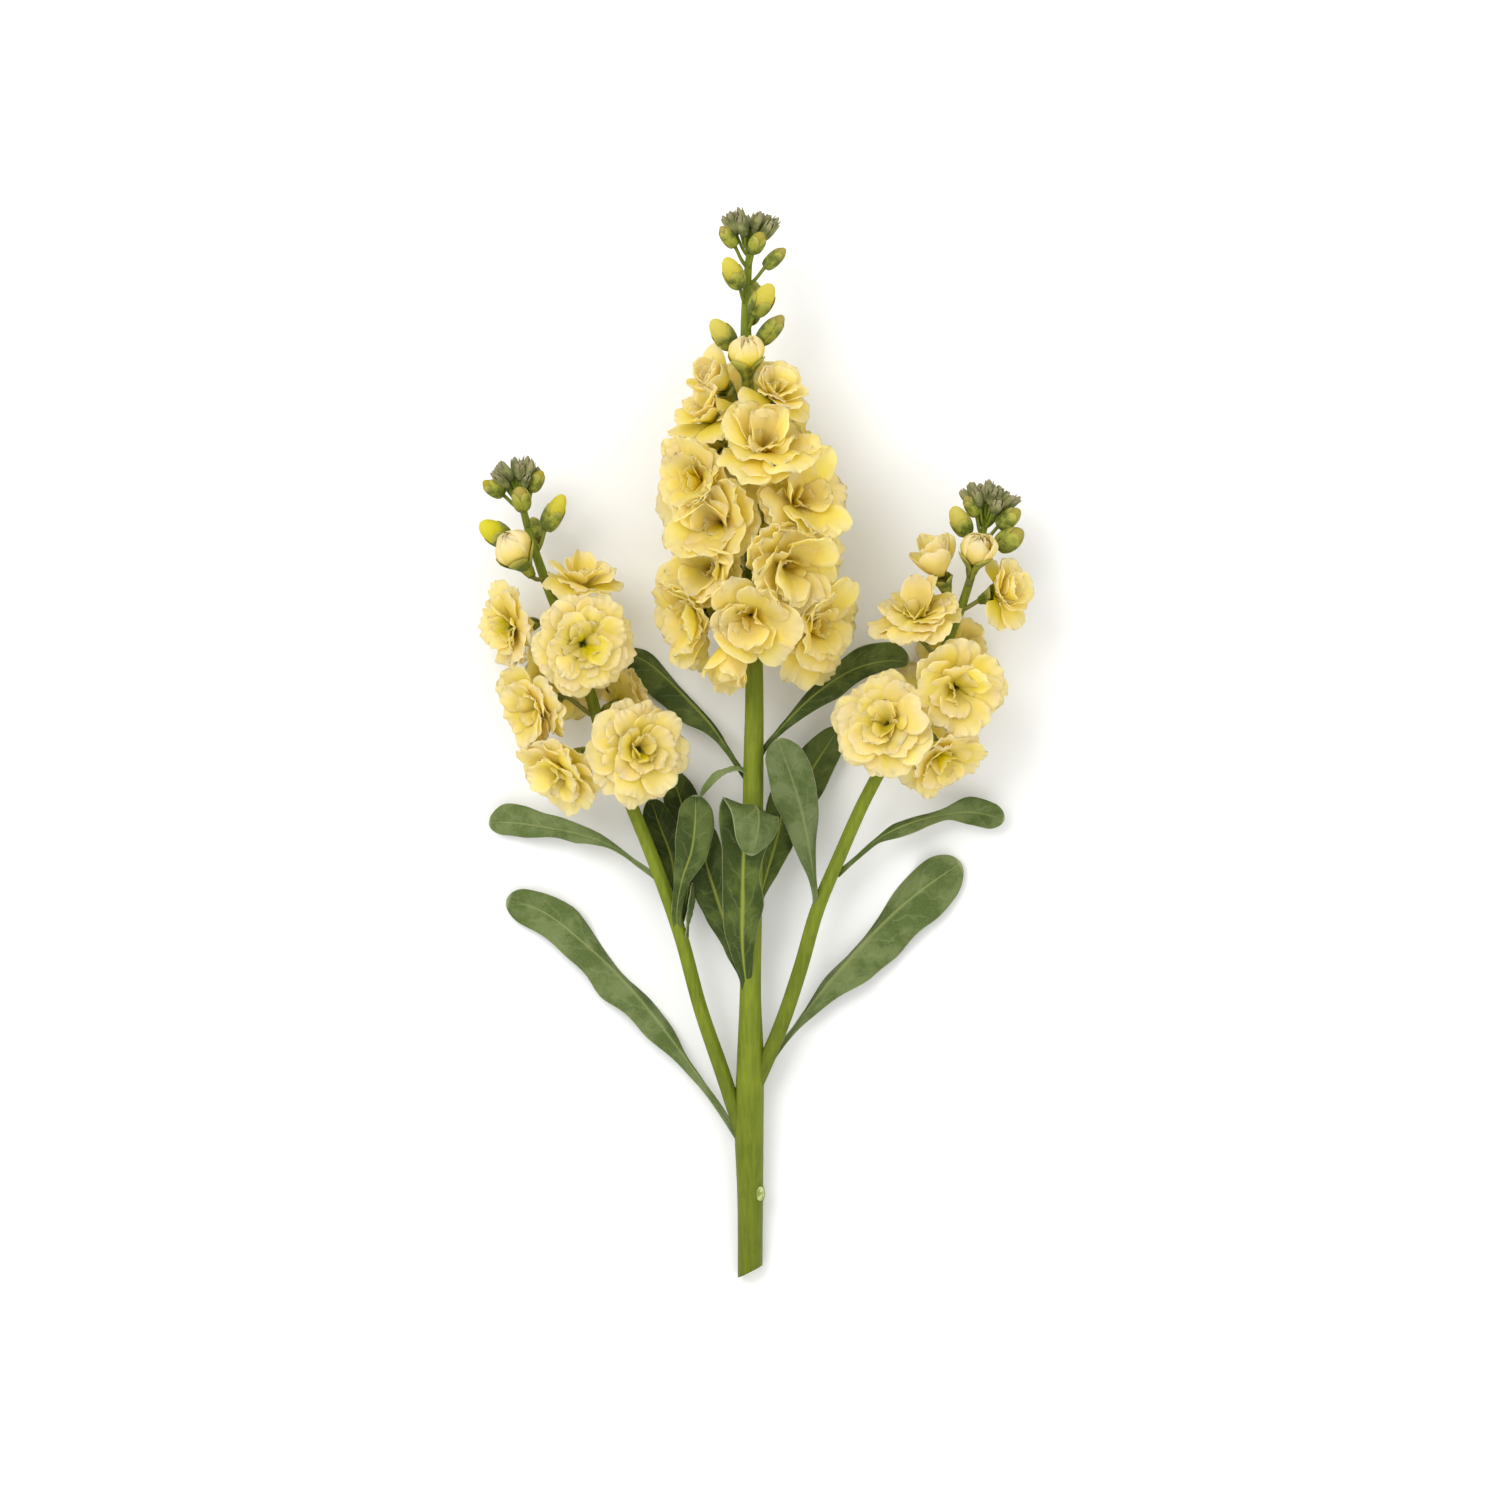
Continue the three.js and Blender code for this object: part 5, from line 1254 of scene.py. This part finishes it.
def buildGlobe(bloom, seed):
    rng = np.random.default_rng(seed)
    builder = PieceBuilder()
    facing = bloom["facing"]
    width, length, parting = globeBlooms[bloom["name"]]
    base = bloom["throat"] - facing * bloom["calyx"] * globeSink
    side = sidewaysOf(facing)
    openTo = math.atan2(np.cross(facing, side)[0], side[0])  # the side that the outer petals open to
    turn = rng.uniform(0, 6)
    for ring, (count, wide, reach, spread) in enumerate(globeDetail["rings"]):
        for index in range(count):
            angle = turn + (index + rng.uniform(-0.15, 0.15)) * 2 * np.pi / count
            opens = parting * (1.6 + 5.0 * max(0, math.cos(angle - openTo)) - 1.4 * ring)
            full = length * reach * rng.uniform(0.93, 1.03)
            edgeLift = 0.2 + 0.25 * (index % 2)
            tipLift = max(0, opens) * rng.uniform(0.6, 1.1)
            points, uv = wrapGrid(base, facing, full, width / 2 * spread, angle, wide, rng,
                                  edgeLift, tipLift)
            addPetal(builder, points, uv, 0.9, rng.uniform(), globeDetail["thickness"])
        turn += globeDetail["twist"]
    builder.make("shown_" + bloom["name"], [openingSkin], [bloom["name"]], "petal")


for index, bloom in enumerate(blooms):
    build = buildGlobe if bloom["name"] in globeBlooms else buildBloom
    build(bloom, seeds["blooms"] + index)
print("blooms built:", len(blooms))


# Leaves

leafDetail = {"rows": 52, "tipRows": 12, "columns": 17, "thickness": 0.5, "edge": 0.45,
              "petiole": 2.4, "keel": 0.07, "hang": 0.85, "underGrey": 0.85, "underBright": 0.95}
# Half widths in mm at each tenth of the length, left and right of the midrib as seen from above,
# or one width and the place where it peaks. Then wave, waves, roll at base and tip, grey bloom,
# brightness, which paints light and shade on each leaf, and the spine.
leafShapes = {
    "leaf_low_left": dict(
        left=[1.2, 1.4, 1.8, 3.2, 6.2, 7, 10, 7.4, 7.2, 7.2, 6],
        right=[1.2, 1, 0.5, 0.6, 2.6, 2.2, 0.5, 2.6, 7.4, 6.4, 4.5],
        wave=0.9, waves=3.2, roll=(0, -6), grey=0.85, bright=1.0,
        spine=[(-3, -136, 8.6), (-10.5, -123.6, 7.6), (-19, -111.3, 6.8), (-32.1, -93.6, 6),
               (-45.2, -78.2, 5.2), (-61.4, -63.6, 4.4), (-72.1, -55.9, 3.6), (-84, -52, 2.4)]),
    "leaf_low_right": dict(
        left=[1.2, 0.9, 0.5, 0.8, 1.8, 0.4, 0.5, 2.6, 5.6, 7.8, 6],
        right=[1.2, 1, 1.4, 3.8, 6.6, 10.4, 11.8, 10.6, 11.2, 9.4, 7],
        wave=0.9, waves=2.6, roll=(0, 8), grey=0.75, bright=1.0,
        spine=[(3, -112, 8.6), (14, -96.6, 7), (28.2, -78.3, 6), (41.6, -63.5, 5), (55.1, -51.3, 4.2),
               (68.7, -41.6, 3.2), (72, -39.6, 2.6)]),
    "leaf_mid_left": dict(
        left=[1.1, 1.1, 0.7, 1, 1.9, 3.3, 2.7, 3.7, 4.6, 4.5, 4],
        right=[1.1, 0.8, 0.7, 1.4, 2.5, 3.4, 4.2, 4.6, 6.3, 6.5, 5],
        wave=0.8, waves=2, roll=(6, -6), grey=0.85, bright=1.02,
        spine=[(-32.6, -44, 16.4), (-38.5, -39.8, 15.4), (-49, -33, 13), (-59.8, -29.3, 10.6),
               (-71.4, -27, 8.2), (-82, -25.6, 6.2), (-90, -25.6, 4.6)]),
    "leaf_mid_right": dict(
        left=[1.1, 0.9, 0.7, 0.8, 2.2, 1.8, 1.4, 2.6, 5.4, 5, 3.6],
        right=[1.1, 0.8, 0.8, 1.4, 3.3, 3.9, 2.6, 1.5, 4.5, 4.6, 4],
        wave=0.8, waves=2, roll=(-14, 10), grey=0.6, bright=1.0,
        spine=[(29.2, -43.5, 16.6), (34.9, -38.5, 15.6), (44.4, -30.4, 13.6), (55.1, -25.4, 11.2),
               (65.3, -23, 9.2), (75.4, -22, 7.6), (86.7, -24.4, 6)]),
    "leaf_upper_left": dict(
        left=[1.1, 1.1, 1, 1.8, 3.8, 6.5, 7.6, 7.8, 8, 6.8, 5],
        right=[1.1, 0.9, 0.8, 0.9, 0.7, 0.6, 0.5, 0.7, 1.8, 3.4, 2.6],
        wave=0.4, waves=2, roll=(-8, -8), grey=0.25, bright=0.85,
        spine=[(0, -13, 19.4), (-5, -5.5, 18), (-13.8, 7.8, 12.6), (-20.1, 14.9, 9), (-29, 23.8, 5.8),
               (-36.5, 29.8, 4), (-43.5, 32.6, 3)]),
    "leaf_upper_right": dict(
        left=[1.1, 0.9, 0.6, 0.6, 0.9, 1.8, 2.8, 4.8, 6.8, 6.8, 5],
        right=[1.1, 1, 1.2, 1.8, 3.2, 4.8, 5.8, 5, 4.2, 3, 2],
        wave=0.4, waves=2, roll=(10, 6), grey=0.35, bright=1.0,
        spine=[(0, -12, 19.4), (3.7, -1, 19.6), (8.8, 5.5, 19.2), (21.3, 18, 17.6), (34.5, 26.6, 15.8),
               (45, 29.6, 15), (54, 29.8, 14.5)]),
    "leaf_behind_right": dict(
        width=14, peak=0.66, wave=0.8, waves=2, roll=(0, 0), grey=0.2, bright=0.78,
        spine=[(1.6, -50, 13.4), (6, -38, 10), (13, -22, 8), (21, -7, 7), (30, 7, 6)]),
    "leaf_right_front": dict(
        left=[1.2, 1.0, 2.0, 3.8, 5.4, 6.6, 7.6, 8.4, 7.8, 6.6, 5],
        right=[1.2, 0.9, 0.9, 1.6, 2.8, 4.6, 6.2, 7.4, 7.6, 6.8, 5],
        wave=0.35, waves=1.6, roll=(8, -6), grey=0.95, bright=0.82,
        spine=[(22.2, -55.5, 16.5), (21.3, -45, 20.2), (19.7, -33.6, 23.4), (17.4, -22.6, 25.8),
               (15, -14, 27), (11.9, -5.4, 27.4), (8.8, 3.2, 26.8)]),
    "leaf_stem_right": dict(
        width=12, peak=0.66, wave=0.7, waves=1.6, roll=(25, 10), grey=0.1, bright=0.88,
        spine=[(0.5, -60, 15.5), (5, -44, 15.8), (8.4, -32.5, 15.4), (10.2, -23.5, 14.6),
               (9.4, -12.5, 13.4)]),
    "leaf_stem_front": dict(
        left=[1.4, 2.2, 4.2, 6.4, 7.2, 6.8, 7.4, 9.4, 10.8, 9.2, 5],
        right=[1.4, 2.4, 3.8, 5.6, 7.4, 5.6, 6.8, 9.6, 11, 9.2, 5],
        wave=0.5, waves=2, roll=(0, 0), grey=0.15, bright=0.9,
        spine=[(-1.2, -86, 14.5), (-3, -69, 20), (-3, -52, 25), (-2.6, -36, 28.4), (-1.6, -24.5, 31.5),
               (0.2, -20.2, 34), (1.5, -22.5, 36.4), (1.2, -29, 37.2), (-0.3, -36.5, 36)]),
    "leaf_stem_left": dict(
        width=14.5, peak=0.66, wave=0.8, waves=2, roll=(-25, -12), grey=0.2, bright=0.8,
        spine=[(-0.8, -86, 13.4), (-7.4, -65, 15.5), (-12.7, -49, 17.6), (-16, -37, 18.6),
               (-15.8, -25, 18)]),
    "leaf_branch_front": dict(
        left=[1.2, 1.4, 1.8, 2, 2.4, 4.2, 5.4, 6.2, 6.4, 5.6, 4.2],
        right=[1.2, 1.4, 1.8, 2, 2.6, 4, 5.4, 6.3, 6.5, 6, 4.6],
        wave=0.5, waves=2, roll=(-8, 0), grey=0.3, bright=0.85,
        spine=[(-25.2, -65, 15.5), (-25.4, -55, 19.5), (-23.7, -45, 23), (-20.4, -35, 26),
               (-19.2, -25.5, 28), (-19, -16, 28.4)]),
    "leaf_branch_left": dict(
        width=11.5, peak=0.68, wave=0.7, waves=2, roll=(15, 12), grey=0.1, bright=0.72,
        spine=[(-27.4, -57, 14.6), (-26.5, -47, 12.2), (-27.5, -37, 11), (-31.5, -26, 10),
               (-34.5, -17.5, 9)]),
    "leaf_branch_behind": dict(
        width=13, peak=0.66, wave=0.8, waves=2, roll=(0, 0), grey=0.1, bright=0.7,
        spine=[(-25, -62, 14), (-22, -50, 9.5), (-21.6, -36, 6.4), (-24, -19, 4.6), (-28.5, -7, 3.6)]),
}
smallLeafShapes = [
    dict(width=4.5, peak=0.7, wave=0.3, waves=1.5, roll=(60, 70), grey=0.8, bright=0.9,
         spine=[(-23, -70, 14.6), (-21.8, -61, 16.6), (-20.6, -53, 18.4), (-20.2, -46, 19.4)]),
    dict(width=2.8, peak=0.6, wave=0.3, waves=1.5, roll=(60, 30), grey=1.0, bright=1.12,
         spine=[(0, -9, 20.8), (-5, -7, 23), (-11.3, -9, 25), (-15, -12.8, 25.8), (-17.3, -16.4, 25.8)]),
]


def evenHalfWidth(shape, s):
    # narrow at the base, widest near the tip, which is rounded
    peak = shape["peak"]
    rise = smoothstep(s, -0.1, peak) ** 1.3
    past = np.clip((s - peak) / (1 - peak), 0, 1)
    width = np.maximum(leafDetail["petiole"], shape["width"] * rise)
    return width * np.sqrt(np.clip(1 - past ** 2.4, 0.004, 1)) / 2


def listedHalfWidth(values, s, length):
    # smooth between the listed tenths, with a round tip
    fine = np.linspace(0, 1, 101)
    soft = np.interp(fine, np.linspace(0, 1, len(values)), values)
    blunt = 1.25 * values[-1] / length
    past = np.clip((s - 1 + blunt) / blunt, 0, 1)
    return np.interp(s, fine, softened(soft, 3)) * np.sqrt(np.clip(1 - past ** 2, 0.003, 1))


def addLeaf(builder, shape, seed):
    rng = np.random.default_rng(seed)
    rows, columns, tipRows = (leafDetail[key] for key in ("rows", "columns", "tipRows"))
    spine = SmoothCurve(shape["spine"])
    closer = 0.1 * (1 - np.linspace(1 / tipRows, 1, tipRows)) ** 1.6  # rows stand closer near the tip
    shares = np.concatenate([np.linspace(0, 0.9, rows - tipRows), 1 - closer])
    t = np.linspace(-1, 1, columns)
    off, edge = np.abs(t), np.abs(t) ** 1.7
    across = sidewaysOf(spine.headingAt(0))
    phases = rng.uniform(0, 2 * np.pi, 4)
    wave, rounds = shape["wave"], 2 * np.pi * shape["waves"]
    grid = []
    for s in shares:
        heading = spine.headingAt(s)
        across = unit(across - heading * np.dot(across, heading))
        sideways = turnAbout(across, heading, math.radians(lerp(*shape["roll"], s)))
        face = np.cross(sideways, heading)
        if "left" in shape:
            halves = np.array([listedHalfWidth(shape[key], s, spine.length) for key in ("left", "right")])
        else:
            halves = np.full(2, evenHalfWidth(shape, s))
        half = np.where(t < 0, halves[0], halves[1])
        fade = math.sin(math.pi * min(s, 0.98))
        lift = wave * fade * edge * np.sin(rounds * s + t * 1.1)
        lift = lift + 0.5 * wave * fade * edge * np.sin(rounds * 2.7 * s + phases[0] + t * 2)
        lift = lift - leafDetail["keel"] * halves.mean() * 2 * np.exp(-(t / 0.22) ** 2) + 0.05 * half * off
        lift = lift + 0.12 * np.sin(s * 60 + phases[1] + off * 5) * edge * fade
        # where one side looks narrow, it hangs down steeply beside the midrib
        hidden = np.sqrt(np.maximum((halves.max() * leafDetail["hang"]) ** 2 - half ** 2, 0))
        lift = lift - hidden * smoothstep(s, 0.15, 0.4) * off ** 1.3 * 0.8
        wander = 1 + 0.03 * np.sin(rounds * 1.9 * s + phases[2] + np.sign(t) * 1.5) * off
        grid.append(spine.atLength(s) + np.outer(half * t * wander, sideways) + np.outer(lift, face))
    grid = np.array(grid)
    grid[..., 2] = np.maximum(grid[..., 2], leafDetail["thickness"] / 2)
    shell, faces = sheetShell(grid, leafDetail["thickness"], leafDetail["edge"])
    uv = np.stack([np.repeat(shares, columns), np.tile(t / 2 + 0.5, rows)], 1)
    # the first half of a shell's points is the leaf's lower side
    under = np.tile([max(shape["grey"], leafDetail["underGrey"]), leafDetail["underBright"]], (len(uv), 1))
    look = np.tile([shape["grey"], shape["bright"]], (len(uv), 1))
    builder.add(shell, faces, {"leafMap": np.tile(uv, (2, 1)), "leafTone": np.concatenate([under, look])})


def buildLeaves():
    for index, (name, shape) in enumerate(leafShapes.items()):
        builder = PieceBuilder()
        addLeaf(builder, shape, seeds["leaves"] + index)
        builder.make("shown_" + name, [leafSkin], [name], "leaf")
    small = PieceBuilder()
    for index, shape in enumerate(smallLeafShapes):
        addLeaf(small, shape, seeds["smallLeaves"] + index)
    small.make("smallLeaves", [leafSkin], ["stem"], "leaf")


buildLeaves()
print("leaves built:", len(leafShapes))


# Floor, light and camera

stageLook = {
    "floorColour": (0.86, 0.86, 0.85, 1), "floorGrain": (0.84, 0.84, 0.83, 1), "floorSize": 6.0,
    "worldStrength": 1.05,
    "keyPower": 22.0, "keySize": 1.2, "keyAt": (-0.9, 0.8, 1.7),
    "fillPower": 7.0, "fillSize": 1.6, "fillAt": (1.3, -0.9, 1.4),
    "cameraHeight": 3.03, "focusHeight": 0.03, "sensor": 36,
    # in pixels of the photo: its side, its middle and the frame's zero; then mm a pixel
    "photoSide": 1494, "middle": (747, 747), "zeroAt": (751.5, 748.0), "pixel": 0.34,
}


def addArea(name, power, size, place):  # a square light that points at the frame's zero
    light = bpy.data.lights.new(name, "AREA")
    light.shape = "SQUARE"
    light.size = size
    light.energy = power
    lamp = bpy.data.objects.new(name, light)
    lamp.location = place
    lamp.rotation_euler = (-Vector(place)).to_track_quat("-Z", "Y").to_euler()
    bpy.context.scene.collection.objects.link(lamp)


def buildStage():
    size = stageLook["floorSize"] / 2
    mesh = bpy.data.meshes.new("floor")
    corners = [(-size, -size, 0), (size, -size, 0), (size, size, 0), (-size, size, 0)]
    mesh.from_pydata(corners, [], [(0, 1, 2, 3)])
    floor = bpy.data.objects.new("floor", mesh)
    bpy.context.scene.collection.objects.link(floor)
    material, n, shader = newMaterial("floorPaper", 0.1)
    grain = n.times(n.group(softMottle, Scale=300.0, Contrast=0.6)["Value"], 0.25)
    n.feed(shader, "Base Color", n.mix(grain, stageLook["floorColour"], stageLook["floorGrain"]))
    n.feed(shader, "Roughness", 0.9)
    mesh.materials.append(material)
    world = bpy.data.worlds.new("studio")
    bpy.context.scene.world = world
    world.use_nodes = True
    background = world.node_tree.nodes["Background"]
    background.inputs["Color"].default_value = (1.0, 1.0, 1.0, 1)
    background.inputs["Strength"].default_value = stageLook["worldStrength"]
    for kind in ("key", "fill"):
        addArea(kind + "Light", stageLook[kind + "Power"], stageLook[kind + "Size"], stageLook[kind + "At"])


def buildCamera():
    data = bpy.data.cameras.new("camera")
    camera = bpy.data.objects.new("camera", data)
    bpy.context.scene.collection.objects.link(camera)
    bpy.context.scene.camera = camera
    aimX = (stageLook["middle"][0] - stageLook["zeroAt"][0]) * stageLook["pixel"] + originShift[0]
    aimY = (stageLook["zeroAt"][1] - stageLook["middle"][1]) * stageLook["pixel"] + originShift[1]
    camera.location = (aimX * mm, aimY * mm, stageLook["cameraHeight"])
    camera.rotation_euler = (0, 0, 0)
    field = stageLook["photoSide"] * stageLook["pixel"] * mm
    data.sensor_width = stageLook["sensor"]
    data.lens = stageLook["sensor"] * (stageLook["cameraHeight"] - stageLook["focusHeight"]) / field
    data.clip_end = 20
    data.clip_start = 0.05


buildStage()
buildCamera()
bpy.context.scene.view_settings.view_transform = "Standard"
bpy.context.scene.view_settings.look = "None"
bpy.context.scene.view_settings.exposure = 0.0
print("stage, light and camera set")
